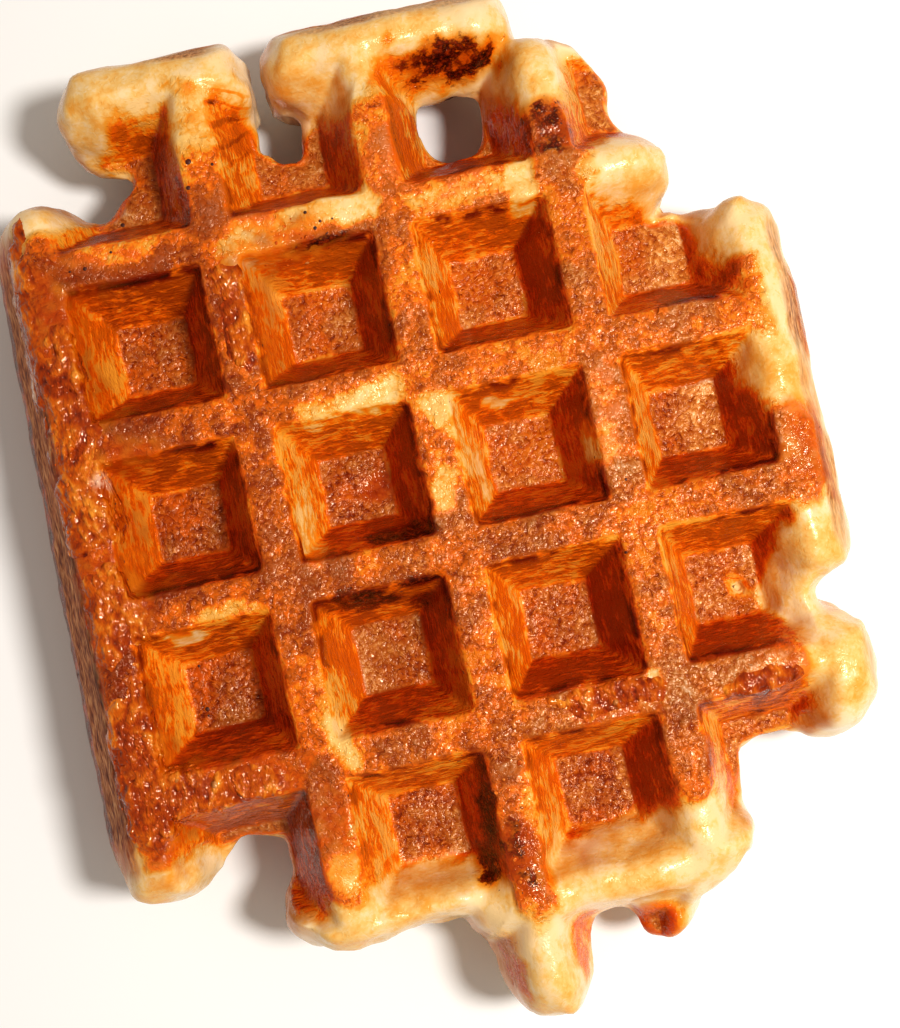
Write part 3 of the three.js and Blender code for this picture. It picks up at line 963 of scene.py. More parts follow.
@dataclass(frozen=True)
class Baking:
    """Works out how brown, burnt and shiny each point of the crust is, and the shade painted on
    walls that face away from the light.
    """

    shape: WaffleShape
    noise: Noise = field(default_factory=lambda: Noise(23))
    ridge_bake: float = 0.68
    wall_bake: float = 0.41
    floor_bake: float = 0.69
    amber_bake: float = 0.55
    dim_bake: float = 0.15  # added where the crust is darker than elsewhere
    pale_bake: float = 0.13
    warm_bake: float = 0.42  # next to a plate, but not touching it
    plate_warmth: float = 1.6  # how far from a plate dough still browns
    thick_fade: float = 4.6  # from a ridge's free edge to where it is fully brown
    left_dark: float = 0.08  # darker towards the left border
    far_shade: float = 0.12  # painted shade on walls that face left, away from the key light
    low_shade: float = 0.14  # painted shade on walls that face the top border
    top_shade: float = 0.12  # painted shade on walls that face down the lattice
    brown_bake: float = 0.6  # at least, in a brown spot
    face_range: Range = (1.1, 0.3)  # gap to a plate over which crust turns pressed
    border_range: Range = (0.9, 0.25)
    flat_range: Range = (0.82, 0.96)  # upright part of a normal, on floors and ridge tops
    steep_range: Range = (0.94, 0.76)
    high_range: Range = (0.35, 0.65)  # of the rise, on ridges
    facing_range: Range = (0.4, 0.8)  # of a normal, on walls that face one way
    lip_rise: float = 0.9
    lip_width: float = 0.07
    seam_share: float = 0.06  # height of the seam, as a share of the half height

    def spots(self, points: Array, spots: Sequence[Spot], ragged: float = 0.25,
              outer: float = 1.32, inner: float = 0.6) -> Array:
        """How strongly a set of spots shows at each point.

        Args:
            points: Points on the crust, with heights from mid height.
            spots: The spots, which lie the same on both faces.
            ragged: How uneven their edges are.
            outer: Where a spot starts, as a share of its size.
            inner: Where it is at its full amount.

        Returns:
            A value from 0 to 1 for each point.
        """
        grid = self.shape.lattice
        across, down = grid.across_of(points[:, 0]), grid.down_of(points[:, 1])
        depth = grid.mid - np.abs(points[:, 2])
        wander = ragged * self.noise(points, 3.4) + 0.5 * ragged * self.noise(points, 1.4)
        total = np.zeros(len(points))
        for spot in spots:
            dx, dy = (across - spot.across) * grid.pitch, (down - spot.down) * grid.pitch
            turn = math.radians(spot.turn)
            along = dx * math.cos(turn) - dy * math.sin(turn)
            off = dx * math.sin(turn) + dy * math.cos(turn)
            reach = np.sqrt((along / spot.long) ** 2 + (off / spot.wide) ** 2
                            + ((depth - spot.depth) / spot.tall) ** 2)
            total = np.maximum(total, spot.amount * ramp(reach + wander, outer, inner))
        return total

    def _touch(self, points: Array, normals: Array) -> Touch:
        """Works out how the plates met the crust.

        Args:
            points: Points on the crust.
            normals: Their outward normals.

        Returns:
            The values for each point.
        """
        x, y, z = points.T
        plates, upright = self.shape.plates, np.abs(normals[:, 2])
        rise = plates.rise(x, y)
        inside = -self.shape.dough.distance(x, y, z, gaps=())
        fade = self.thick_fade * rise
        filled = ramp(inside + 0.6 * self.noise(points, 5), 0.15 * fade - 1.2, fade - 0.6)
        face_gap = np.minimum(plates.upper(x, y) - z, z + plates.lower(x, y))
        on_face = ramp(face_gap, *self.face_range)
        border_gap = -plates.border(x, y, z)
        border = ramp(border_gap, *self.border_range) * (1 - on_face)
        return Touch(rise, face_gap, border_gap, filled, border,
                     pressed=filled * np.maximum(on_face, border),
                     flat=ramp(upright, *self.flat_range),
                     steep=ramp(upright, *self.steep_range),
                     high=ramp(rise, *self.high_range))

    def _pressed_bake_and_shade(self, points: Array, normals: Array, touch: Touch) -> Array:
        """Works out how brown the plates baked what they pressed, with painted shade on walls by
        the way they face.

        Args:
            points: Points on the crust.
            normals: Their outward normals.
            touch: How the plates met them.

        Returns:
            The baking for each point, from 0 for raw to 1 for burnt.
        """
        across = self.shape.lattice.across_of(points[:, 0])
        flat_bake = self.floor_bake + (self.ridge_bake - self.floor_bake) * touch.high
        bake_and_shade = self.wall_bake + touch.flat * (flat_bake - self.wall_bake)
        bake_and_shade += self.left_dark * ramp(across + 0.5 * self.noise(points, 14), 1.6, 0.2)
        # Painted shade: walls darker by the way they face the light.
        for dark, facing in ((self.far_shade, -normals[:, 0]), (self.low_shade, normals[:, 1]),
                             (self.top_shade, -normals[:, 1])):
            bake_and_shade += dark * touch.steep * ramp(facing, *self.facing_range)
        return bake_and_shade + self.dim_bake * touch.flat * self.spots(points, DIM_SPOTS, ragged=0.3)

    def layers(self, points: Array, normals: Array) -> dict[Layer, Array]:
        """Works out every value that the finish reads.

        Args:
            points: Points on the crust.
            normals: Their outward normals.

        Returns:
            One value a point for each layer.
        """
        grid, touch = self.shape.lattice, self._touch(points, normals)
        flat, steep, border_gap = touch.flat, touch.steep, touch.border_gap
        warm = self.warm_bake * np.exp(-np.maximum(touch.face_gap, 0) / self.plate_warmth)
        bake_and_shade = warm + (self._pressed_bake_and_shade(points, normals, touch) - warm) * touch.pressed
        amber = 0.7 * self.spots(points, AMBER_SPOTS, ragged=0.5, outer=1.4, inner=0.5)
        bake_and_shade = bake_and_shade + amber * np.minimum(self.amber_bake - bake_and_shade, 0)
        brown = self.spots(points, BROWN_SPOTS, ragged=0.35)
        streaks = self.spots(points, STREAK_SPOTS, ragged=0.45, outer=1.25, inner=0.75)
        pale = np.maximum(self.spots(points, PALE_SPOTS), streaks) * (1 - brown)
        bake_and_shade = np.maximum(bake_and_shade * (1 - pale), self.pale_bake * pale)
        bake_and_shade = bake_and_shade + brown * np.maximum(self.brown_bake - bake_and_shade, 0)

        across = grid.across_of(points[:, 0])
        # Painted sheen: the pressed tan grows towards the right, where the light glints.
        right = ramp(across + 0.4 * self.noise(points, 9), 0.1, 3.1)
        soft = self.shape.plates.softness(points[:, 0], points[:, 1])
        fibrous = 1 - 0.65 * soft
        sideways = np.abs(normals[:, 0]) / np.maximum(np.hypot(normals[:, 0], normals[:, 1]), 1e-6)
        # Painted shade: walls that face left or the top border, away from the light.
        away = np.maximum(ramp(normals[:, 0], -0.3, -0.8), 0.9 * ramp(normals[:, 1], 0.3, 0.8))
        share = np.abs(points[:, 2]) / grid.mid
        bend = 0.05 * self.noise(points, 4)
        seam = np.maximum(ramp(np.abs(share - self.seam_share + bend), 0.12, 0.04),
                          ramp(share + bend, 0.8, 0.93))
        band = ramp(border_gap, 1, 0.4) * ramp(share + bend, 0.12, 0.22)
        lip = np.exp(-(((touch.rise - self.lip_rise) / self.lip_width) ** 2))
        return {
            Layer.BAKE_AND_SHADE: bake_and_shade,
            Layer.CHAR: self.spots(points, CHAR_SPOTS, ragged=0.5, outer=1.5, inner=0.5),
            Layer.PLATE_AND_SHEEN: (flat * touch.pressed * (1 - pale) * (1 - amber)
                          * (0.08 + 0.34 * right + 0.42 * (1 - touch.high))),
            Layer.WALL_X: steep * fibrous * ramp(sideways, 0.66, 0.75),
            Layer.WALL_Y: steep * fibrous * ramp(sideways, 0.75, 0.66),
            Layer.LIP: lip * steep * touch.pressed * (1 - soft),
            Layer.SHADED_WALL: steep * (1 - pale) * away,
            Layer.GLAZE: self.spots(points, GLAZE_SPOTS, ragged=0.45, outer=1.35, inner=0.6),
            Layer.BAND: touch.border * touch.filled * band,
            Layer.SEAM: touch.border * touch.filled * seam,
            Layer.VEIN: self.spots(points, VEIN_SPOTS, ragged=0.3),
        }


@dataclass(frozen=True)
class Relief:
    """The crust's small ups and downs, as far as the mesh can hold them."""

    noise: Noise = field(default_factory=lambda: Noise(41))
    grain: float = 0.13  # roughness of crust that a plate pressed
    dent: float = 0.22
    puff: float = 0.55  # lumps in pale, free dough
    pit: float = 0.55  # depth of burnt pits
    film: float = 0.22  # ripples of melted sugar

    def depths(self, points: Array, layers: dict[Layer, Array]) -> Array:
        """How far each point moves out along its normal.

        Args:
            points: Points on the crust.
            layers: The crust's values.

        Returns:
            Millimetres for each point.
        """
        noise = self.noise
        pale = ramp(layers[Layer.BAKE_AND_SHADE], 0.45, 0.2)
        grain = self.grain * (noise(points, 1.7) + 0.6 * noise(points + 50, 3.1))
        dent = self.dent * noise(points + 90, 5.5)
        puff = self.puff * (noise(points + 20, 7) - 0.25)
        puff += 0.3 * self.puff * noise(points + 70, 2.6)
        pits = -self.pit * layers[Layer.CHAR] * np.abs(noise(points + 33, 1.9))
        film = self.film * layers[Layer.GLAZE] * noise(points + 12, 2.2)
        return (1 - pale) * (grain + dent) + pale * puff + pits + film


# ---- Finishes ----
def linear(hex_color: str) -> tuple[float, float, float, float]:
    """Turns a web colour into the renderer's linear one.

    Args:
        hex_color: Six digits.

    Returns:
        Red, green, blue and full cover.
    """
    parts = [int(hex_color[n:n + 2], 16) / 255 for n in (0, 2, 4)]
    red, green, blue = (p / 12.92 if p <= 0.04045 else ((p + 0.055) / 1.055) ** 2.4 for p in parts)
    return (red, green, blue, 1.0)


Socket = bpy.types.NodeSocket
Stops = tuple[tuple[float, str], ...]  # places along a value, and web colours
Color = tuple[float, float, float]


class Sheet:
    """A material's nodes, with short ways to add the common ones."""

    def __init__(self, name: str) -> None:
        """Makes an empty material.

        Args:
            name: The material's name.
        """
        self.material = bpy.data.materials.new(name)
        self.material.use_nodes = True
        self.tree = self.material.node_tree
        self.tree.nodes.clear()
        self._layers: dict[Layer, Socket] = {}
        self.shader = self.add("ShaderNodeBsdfPrincipled")
        output = self.add("ShaderNodeOutputMaterial")
        self.link(self.shader.outputs["BSDF"], output.inputs["Surface"])
        coords = self.add("ShaderNodeTexCoord")
        self.place = self.mapping(coords.outputs["Object"], (1 / MM,) * 3)

    def add(self, kind: str, **settings: object) -> bpy.types.Node:
        """Adds a node with its settings."""
        node = self.tree.nodes.new(kind)
        for name, value in settings.items():
            setattr(node, name, value)
        return node

    def link(self, source: object, target: Socket) -> None:
        """Joins an output to an input, or sets the input to a plain value.

        Args:
            source: The output or the value.
            target: The input.
        """
        if isinstance(source, Socket):
            self.tree.links.new(source, target)
        else:
            target.default_value = source

    def mapping(self, vector: Socket, scale: Sequence[float]) -> Socket:
        """Stretches coordinates.

        Args:
            vector: The coordinates.
            scale: Scale on each axis.

        Returns:
            The stretched coordinates.
        """
        node = self.add("ShaderNodeMapping")
        self.link(vector, node.inputs["Vector"])
        node.inputs["Scale"].default_value = scale
        return node.outputs["Vector"]

    def layer(self, layer: Layer) -> Socket:
        """Reads one of the mesh's values.

        Args:
            layer: The value.

        Returns:
            Its socket, the same one each time.
        """
        if layer not in self._layers:
            node = self.add("ShaderNodeAttribute", attribute_name=layer.value)
            self._layers[layer] = node.outputs["Fac"]
        return self._layers[layer]

    def noise(self, size: float, detail: float = 2, rough: float = 0.5,
              place: Socket | None = None, bend: float = 0) -> Socket:
        """Noise with lumps of a size in millimetres, which `bend` draws out into swirls.

        Args:
            size: Size of a lump.
            detail: Finer layers on top.
            rough: Share of the finer layers.
            place: Coordinates other than the piece's own.
            bend: How far it is drawn out.

        Returns:
            The noise, from 0 to 1.
        """
        node = self.add("ShaderNodeTexNoise")
        self.link(place or self.place, node.inputs["Vector"])
        node.inputs["Scale"].default_value = 1 / size
        node.inputs["Detail"].default_value = detail
        node.inputs["Roughness"].default_value = rough
        node.inputs["Distortion"].default_value = bend
        return node.outputs["Fac"]

    def pebbles(self, size: float, bend: Socket, reach: float) -> Socket:
        """Round-topped grains of a size in millimetres, pushed about by a value: 1 at a top.

        Args:
            size: Size of a grain.
            bend: The value.
            reach: How far it pushes.

        Returns:
            The height of the grains.
        """
        shift = self.add("ShaderNodeVectorMath", operation="MULTIPLY_ADD")
        self.link(bend, shift.inputs[0])
        shift.inputs[1].default_value = (reach,) * 3
        self.link(self.place, shift.inputs[2])
        node = self.add("ShaderNodeTexVoronoi", feature="F1")
        self.link(shift.outputs[0], node.inputs["Vector"])
        node.inputs["Scale"].default_value = 1 / size
        square = self.math("MULTIPLY", node.outputs["Distance"], node.outputs["Distance"])
        return self.math("SUBTRACT", 1.0, square)

    def math(self, operation: str, a: object, b: object = 0.0, clamp: bool = False) -> Socket:
        """Sum, product or other combination of two values.

        Args:
            operation: Its name.
            a: First value or socket.
            b: Second value or socket.
            clamp: Whether to keep it from 0 to 1.

        Returns:
            The result.
        """
        node = self.add("ShaderNodeMath", operation=operation, use_clamp=clamp)
        self.link(a, node.inputs[0])
        self.link(b, node.inputs[1])
        return node.outputs[0]

    def total(self, *parts: tuple[object, object]) -> Socket:
        """Adds up values, each times its share.

        Args:
            parts: Each value with its share.

        Returns:
            The sum.
        """
        result: object = 0.0
        for value, share in parts:
            node = self.add("ShaderNodeMath", operation="MULTIPLY_ADD")
            for socket, source in zip(node.inputs, (value, share, result)):
                self.link(source, socket)
            result = node.outputs[0]
        return result

    def swing(self, noise: Socket) -> Socket:
        """Noise as a value round nought."""
        return self.math("SUBTRACT", noise, 0.5)

    def mix_value(self, share: object, a: object, b: object) -> Socket:
        """Mixes two values.

        Args:
            share: Share of the second.
            a: First value.
            b: Second value.

        Returns:
            The mixed value.
        """
        node = self.add("ShaderNodeMix", data_type="FLOAT")
        for number, source in ((0, share), (2, a), (3, b)):
            self.link(source, node.inputs[number])
        return node.outputs[0]

    def spread(self, value: object, low: float, high: float, to_low: float = 0,
               to_high: float = 1) -> Socket:
        """Maps a range smoothly onto another.

        Args:
            value: The value.
            low: Start of its range.
            high: End of its range.
            to_low: What the start becomes.
            to_high: What the end becomes.

        Returns:
            The mapped value, kept within its range.
        """
        node = self.add("ShaderNodeMapRange", interpolation_type="SMOOTHSTEP")
        for name, number in (("From Min", low), ("From Max", high), ("To Min", to_low),
                             ("To Max", to_high)):
            node.inputs[name].default_value = number
        self.link(value, node.inputs["Value"])
        return node.outputs["Result"]

    def mix(self, share: object, a: object, b: object, blend: str = "MIX") -> Socket:
        """Mixes two colours.

        Args:
            share: Share of the second.
            a: First colour.
            b: Second colour.
            blend: How they are blended.

        Returns:
            The mixed colour.
        """
        node = self.add("ShaderNodeMix", data_type="RGBA", blend_type=blend)
        self.link(share, node.inputs["Factor"])
        self.link(a, node.inputs[6])
        self.link(b, node.inputs[7])
        return node.outputs[2]

    def colors(self, value: object, stops: Stops) -> Socket:
        """A run of colours along a value.

        Args:
            value: The value.
            stops: The colours.

        Returns:
            The colour.
        """
        node = self.add("ShaderNodeValToRGB")
        ramp_ = node.color_ramp
        while len(ramp_.elements) < len(stops):
            ramp_.elements.new(0.5)
        for element, (position, color) in zip(ramp_.elements, stops):
            element.position = position
            element.color = linear(color)
        self.link(value, node.inputs["Fac"])
        return node.outputs["Color"]

    def gloss(self, roughness: object, specular: float, tint: Color) -> None:
        """Sets how the surface shines.

        Args:
            roughness: A value or a socket.
            specular: The shader's specular level.
            tint: Colour of what it reflects.
        """
        self.link(roughness, self.shader.inputs["Roughness"])
        self.shader.inputs["Specular IOR Level"].default_value = specular
        self.shader.inputs["Specular Tint"].default_value = (*tint, 1)

    def bump(self, height: Socket, depth: float) -> None:
        """Gives the surface the finest relief.

        Args:
            height: Height, as a value.
            depth: Millimetres in a height of one.
        """
        node = self.add("ShaderNodeBump")
        node.inputs["Strength"].default_value = 1
        node.inputs["Distance"].default_value = depth * MM
        self.link(height, node.inputs["Height"])
        self.link(node.outputs["Normal"], self.shader.inputs["Normal"])


@dataclass(frozen=True)
class Patterns:
    """Patterns that the crust's colour, gloss and relief share, all but two round nought."""

    big: Socket
    middle: Socket
    fine: Socket  # from 0 to 1
    grit: Socket
    crinkle: Socket
    grains: Socket  # where no wall is
    fibres: Socket  # on walls
    wood: Socket  # fibres along the left border, from 0 to 1


@dataclass(frozen=True)
class CrustFinish:
    """The baked crust, from raw-looking dough to char, with painted shade on walls away from the
    light and painted glints on raised grains. Sizes are in millimetres.
    """

    bake_stops: Stops = (
        (0.0, "f0dcb8"), (0.13, "eabe74"), (0.25, "e39a34"), (0.37, "ea8012"), (0.48, "dc6205"),
        (0.60, "bc5a08"), (0.74, "9a3c02"), (0.87, "761c00"), (1.0, "3c0a00"),
    )
    plate_stops: Stops = (
        (0.22, "7c2c04"), (0.36, "a24e0e"), (0.55, "be7028"), (0.68, "dc9850"), (0.8, "f2c698"),
    )
    char_stops: Stops = ((0.35, "160501"), (0.5, "481002"), (0.7, "903206"))
    glaze_stops: Stops = ((0.3, "861c00"), (0.5, "b84604"), (0.72, "dc8020"))
    band_stops: Stops = (
        (0.3, "401608"), (0.42, "8e4a26"), (0.55, "c07e4c"), (0.72, "e2b07e"),
    )
    shade_tint: str = "dca676"  # painted shade: what a wall away from the light is multiplied by
    big_size: float = 11
    middle_size: float = 2.8
    fine_size: float = 0.85
    grit_size: float = 0.42
    crinkle_size: float = 1.5
    crinkle_bend: float = 2.2
    grain_size: float = 0.7
    grain_push: float = 1.6
    fibre_scale: tuple[float, float, float] = (1.8, 0.5, 1.4)  # across, along and up
    vein_scale: float = 0.2
    palest: float = 0.52  # share of its baking that the palest grain keeps, painted glints on grain tops included
    darkest: float = 0.1  # how much more baked the darkest grain is, painted shade in pits included
    char_dark: float = 0.32
    lip_dark: float = 0.34
    vein_dark: float = 0.17
    band_cover: float = 0.85
    glaze_cover: float = 0.6
    seam_cover: float = 0.8
    roughness: float = 0.21
    glaze_roughness: float = 0.13
    band_roughness: float = 0.75
    specular: float = 0.42
    specular_tint: Color = (1, 0.84, 0.68)
    relief: float = 1.3

    def build(self) -> bpy.types.Material:
        """Makes the crust's material.

        Returns:
            The material.
        """
        sheet = Sheet("baked_crust")
        marks = self._patterns(sheet)
        burnt = self._burnt(sheet, marks)
        sheet.link(self._color(sheet, marks, burnt), sheet.shader.inputs["Base Color"])
        sheet.gloss(self._roughness(sheet, burnt), self.specular, self.specular_tint)
        sheet.bump(self._height(sheet, marks), self.relief)
        return sheet.material

    def _patterns(self, sheet: Sheet) -> Patterns:
        """Adds the patterns.

        Args:
            sheet: The material's nodes.

        Returns:
            The patterns.
        """
        big = sheet.swing(sheet.noise(self.big_size, 1, 0.5))
        middle = sheet.swing(sheet.noise(self.middle_size, 1, 0.6))
        fine = sheet.noise(self.fine_size, 2, 0.65)
        grit = sheet.swing(sheet.noise(self.grit_size, 1, 0.6))
        crinkle = sheet.swing(sheet.noise(self.crinkle_size, 2, 0.62, bend=self.crinkle_bend))
        wide, long, tall = self.fibre_scale
        along_y = sheet.noise(1, 2, 0.6, sheet.mapping(sheet.place, (wide, long, tall)))
        along_x = sheet.noise(1, 2, 0.6, sheet.mapping(sheet.place, (long, wide, tall)))
        wall_x, wall_y = sheet.layer(Layer.WALL_X), sheet.layer(Layer.WALL_Y)
        fibres = sheet.total((sheet.swing(along_y), wall_x), (sheet.swing(along_x), wall_y))
        flat = sheet.math("SUBTRACT", 1.0, sheet.math("MAXIMUM", wall_x, wall_y))
        grains = sheet.swing(sheet.pebbles(self.grain_size, crinkle, self.grain_push))
        grains = sheet.math("MULTIPLY", grains, flat)
        return Patterns(big, middle, fine, grit, crinkle, grains, fibres, along_y)

    def _veins(self, sheet: Sheet) -> Socket:
        """Adds the thin dark lines of scored dough.

        Args:
            sheet: The material's nodes.

        Returns:
            How strongly a line shows.
        """
        wave = sheet.add("ShaderNodeTexWave", bands_direction="DIAGONAL")
        for name, number in (("Scale", self.vein_scale), ("Distortion", 4.0),
                             ("Detail Scale", 0.9)):
            wave.inputs[name].default_value = number
        sheet.link(sheet.place, wave.inputs["Vector"])
        lines = sheet.spread(wave.outputs["Fac"], 0.25, 0.03)
        return sheet.math("MULTIPLY", lines, sheet.layer(Layer.VEIN))

    def _brownness(self, sheet: Sheet, marks: Patterns) -> Socket:
        """Adds the crust's baking with all its unevenness, in part painted: raised grains, crinkles
        and fibres lighter as painted glints, pits darker as painted shade.

        Args:
            sheet: The material's nodes.
            marks: The patterns.

        Returns:
            A value from 0 for raw to 1 for burnt.
        """
        bake_and_shade = sheet.layer(Layer.BAKE_AND_SHADE)
        # Uneven browning, plus painted glints on raised grains, crinkles and fibres and painted
        # shade in pits.
        uneven = sheet.total((marks.big, 1.15), (marks.middle, 0.9),
                             (sheet.swing(marks.fine), -0.28), (marks.grains, -0.26),
                             (marks.crinkle, -0.36), (marks.fibres, -1.2), (marks.grit, -0.2))
        value = sheet.total((bake_and_shade, 1.0), (uneven, sheet.spread(bake_and_shade, 0.08, 0.45, 0.27, 1)))
        value = sheet.math("MAXIMUM", value, sheet.math("MULTIPLY", bake_and_shade, self.palest))
        value = sheet.math("MINIMUM", value, sheet.math("ADD", bake_and_shade, self.darkest))
        patches = sheet.total((marks.middle, 1.0), (marks.big, 1.0))
        dashes = sheet.math("MULTIPLY", sheet.layer(Layer.LIP),
                            sheet.spread(patches, -0.06, 0.14))
        return sheet.total((value, 1.0), (sheet.layer(Layer.CHAR), self.char_dark),
                           (dashes, self.lip_dark), (self._veins(sheet), self.vein_dark))

    def _burnt(self, sheet: Sheet, marks: Patterns) -> Socket:
        """Adds char and the dark seams of the border.

        Args:
            sheet: The material's nodes.
            marks: The patterns.

        Returns:
            How burnt the crust is.
        """
        char = sheet.layer(Layer.CHAR)
        burnt = sheet.total((char, 1.0), (marks.middle, 1.6), (sheet.swing(marks.fine), 1.6),
                            (marks.fibres, 1.0))
        burnt = sheet.math("MULTIPLY", sheet.spread(burnt, 0.5, 0.95),
                           sheet.spread(char, 0.05, 0.4))
        seam = sheet.math("MULTIPLY", sheet.layer(Layer.SEAM),
                          sheet.spread(marks.middle, -0.25, 0.1))
        return sheet.math("MAXIMUM", burnt, sheet.math("MULTIPLY", seam, self.seam_cover))

    def _color(self, sheet: Sheet, marks: Patterns, burnt: Socket) -> Socket:
        """Adds the colours, one over the other.

        Args:
            sheet: The material's nodes.
            marks: The patterns.
            burnt: How burnt the crust is.

        Returns:
            The colour.
        """
        color = sheet.colors(self._brownness(sheet, marks), self.bake_stops)
        # Painted shade: walls away from the light take a darker tint.
        color = sheet.mix(sheet.layer(Layer.SHADED_WALL), color, linear(self.shade_tint), "MULTIPLY")
        # Tan lighter on raised grains and crinkles, partly painted glints.
        tone = sheet.total((marks.fine, 0.36), (marks.grains, 0.28), (marks.crinkle, 0.56),
                           (marks.grit, 0.2), (marks.middle, 0.4), (marks.big, 0.7),
                           (sheet.layer(Layer.BAKE_AND_SHADE), -0.7), (0.73, 1.0))
        patches = sheet.total((marks.middle, 1.0), (marks.big, 1.0))
        # Tan of pressed crust, partly painted sheen towards the right.
        plate = sheet.math("MULTIPLY", sheet.layer(Layer.PLATE_AND_SHEEN),
                           sheet.spread(patches, -0.3, 0.3, 0.75, 1.2), True)
        color = sheet.mix(plate, color, sheet.colors(tone, self.plate_stops))
        band = sheet.math("MULTIPLY", sheet.layer(Layer.BAND), self.band_cover)
        color = sheet.mix(band, color, sheet.colors(marks.wood, self.band_stops))
        tone = sheet.total((marks.middle, 0.9), (marks.big, 0.6), (0.5, 1.0))
        glaze = sheet.math("MULTIPLY", sheet.layer(Layer.GLAZE), self.glaze_cover)
        color = sheet.mix(glaze, color, sheet.colors(tone, self.glaze_stops))
        return sheet.mix(burnt, color, sheet.colors(marks.fine, self.char_stops))

    def _roughness(self, sheet: Sheet, burnt: Socket) -> Socket:
        """Adds what shines more or less than the crust.

        Args:
            sheet: The material's nodes.
            burnt: How burnt the crust is.

        Returns:
            The roughness.
        """
        shiny = sheet.math("MAXIMUM", sheet.spread(sheet.layer(Layer.GLAZE), 0.2, 0.7),
                           sheet.math("MULTIPLY", burnt, 0.7))
        rough = sheet.mix_value(shiny, self.roughness, self.glaze_roughness)
        return sheet.mix_value(sheet.layer(Layer.BAND), rough, self.band_roughness)

    def _height(self, sheet: Sheet, marks: Patterns) -> Socket:
        """Adds the finest relief, calmer on pale dough and under glaze.

        Args:
            sheet: The material's nodes.
            marks: The patterns.

        Returns:
            The height.
        """
        height = sheet.total((marks.grains, 0.13), (marks.fine, 0.1), (marks.fibres, 0.26),
                             (marks.middle, 0.32), (marks.crinkle, 0.17))
        calm = sheet.math("MINIMUM", sheet.spread(sheet.layer(Layer.BAKE_AND_SHADE), 0.08, 0.42, 0.17, 1),
                          sheet.spread(sheet.layer(Layer.GLAZE), 0.2, 0.8, 1, 0.55))
        return sheet.math("MULTIPLY", height, calm)


@dataclass(frozen=True)
class SugarFinish:
    """Melted sugar: caramel, or clear where it stayed pale."""

    name: str
    stops: Stops
    pale_stops: Stops = ((0.3, "d98f63"), (0.6, "f3d9c4"))
    swirl_size: float = 3.4
    fine_size: float = 0.8
    bubble_size: float = 1.0
    run: float = 0.55  # how much the sugar is drawn out down the lattice
    roughness: float = 0.08
    specular: float = 0.5
    specular_tint: Color = (1, 0.86, 0.66)
    relief: float = 0.6  # in millimetres

    def build(self) -> bpy.types.Material:
        """Makes the sugar's material.

        Returns:
            The material.
        """
        sheet = Sheet(self.name)
        along = sheet.mapping(sheet.place, (1, self.run, 1))
        swirl = sheet.swing(sheet.noise(self.swirl_size, 2, 0.5, along, bend=1.2))
        fine = sheet.swing(sheet.noise(self.fine_size, 2, 0.6, along))
        bubbles = sheet.swing(sheet.pebbles(self.bubble_size, swirl, 1.5))
        tone = sheet.total((swirl, 1.0), (fine, 0.55), (bubbles, 0.12), (0.5, 1.0))
        lace = sheet.math("MULTIPLY", sheet.layer(Layer.LACE),
                          sheet.spread(sheet.total((swirl, 1.0), (fine, 0.8)), -0.05, 0.12))
        color = sheet.mix(lace, sheet.colors(tone, self.stops),
                          sheet.colors(tone, self.pale_stops))
        sheet.link(color, sheet.shader.inputs["Base Color"])
        sheet.gloss(self.roughness, self.specular, self.specular_tint)
        sheet.bump(sheet.total((bubbles, 0.5), (swirl, 1.3), (fine, 0.8)), self.relief)
        return sheet.material


@dataclass(frozen=True)
class SpeckFinish:
    """Burnt specks, and dark specks that paint the shade of pinholes."""

    stops: Stops = ((0.3, "1c0705"), (0.7, "5a1c0a"))
    grain: float = 0.8  # in millimetres
    roughness: float = 0.5

    def build(self) -> bpy.types.Material:
        """Makes the specks' material.

        Returns:
            The material.
        """
        sheet = Sheet("burnt_speck_and_hole_shade")
        tone = sheet.colors(sheet.noise(self.grain), self.stops)
        sheet.link(tone, sheet.shader.inputs["Base Color"])
        sheet.shader.inputs["Roughness"].default_value = self.roughness
        return sheet.material


@dataclass(frozen=True)
class FloorFinish:
    """The pale studio floor."""

    stops: Stops = ((0.3, "f4f7fb"), (0.7, "f1f4f8"))
    grain: float = 180  # in millimetres
    roughness: float = 0.75

    def build(self) -> bpy.types.Material:
        """Makes the floor's material.

        Returns:
            The material.
        """
        sheet = Sheet("pale_floor")
        tone = sheet.colors(sheet.noise(self.grain), self.stops)
        sheet.link(tone, sheet.shader.inputs["Base Color"])
        sheet.shader.inputs["Roughness"].default_value = self.roughness
        return sheet.material


# ---- Sub-assemblies ----
def make_object(name: str, points: Array, faces: Array,
                layers: dict[Layer, Array] | None = None) -> bpy.types.Object:
    """Makes a smooth mesh object from points in metres.

    Args:
        name: The object's name.
        points: Points in metres.
        faces: Corners of each face.
        layers: Values that the mesh carries.

    Returns:
        The object, in the scene.
    """
    mesh = bpy.data.meshes.new(name)
    mesh.from_pydata(points.tolist(), [], faces.tolist())
    for layer, values in (layers or {}).items():
        attribute = mesh.attributes.new(layer.value, "FLOAT", "POINT")
        attribute.data.foreach_set("value", np.ascontiguousarray(values, np.float32))
    mesh.shade_smooth()
    mesh.validate()
    item = bpy.data.objects.new(name, mesh)
    bpy.context.scene.collection.objects.link(item)
    return item


def dress(item: bpy.types.Object, slot: str) -> None:
    """Hands a finished piece to the frame and logs it.

    Args:
        item: The piece.
        slot: Its finish slot.
    """
    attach(item, BODY)
    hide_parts(NODE)
    mesh = item.data
    LOG.info("%s: %d points, %d faces, slot %s", item.name, len(mesh.vertices),
             len(mesh.polygons), slot)


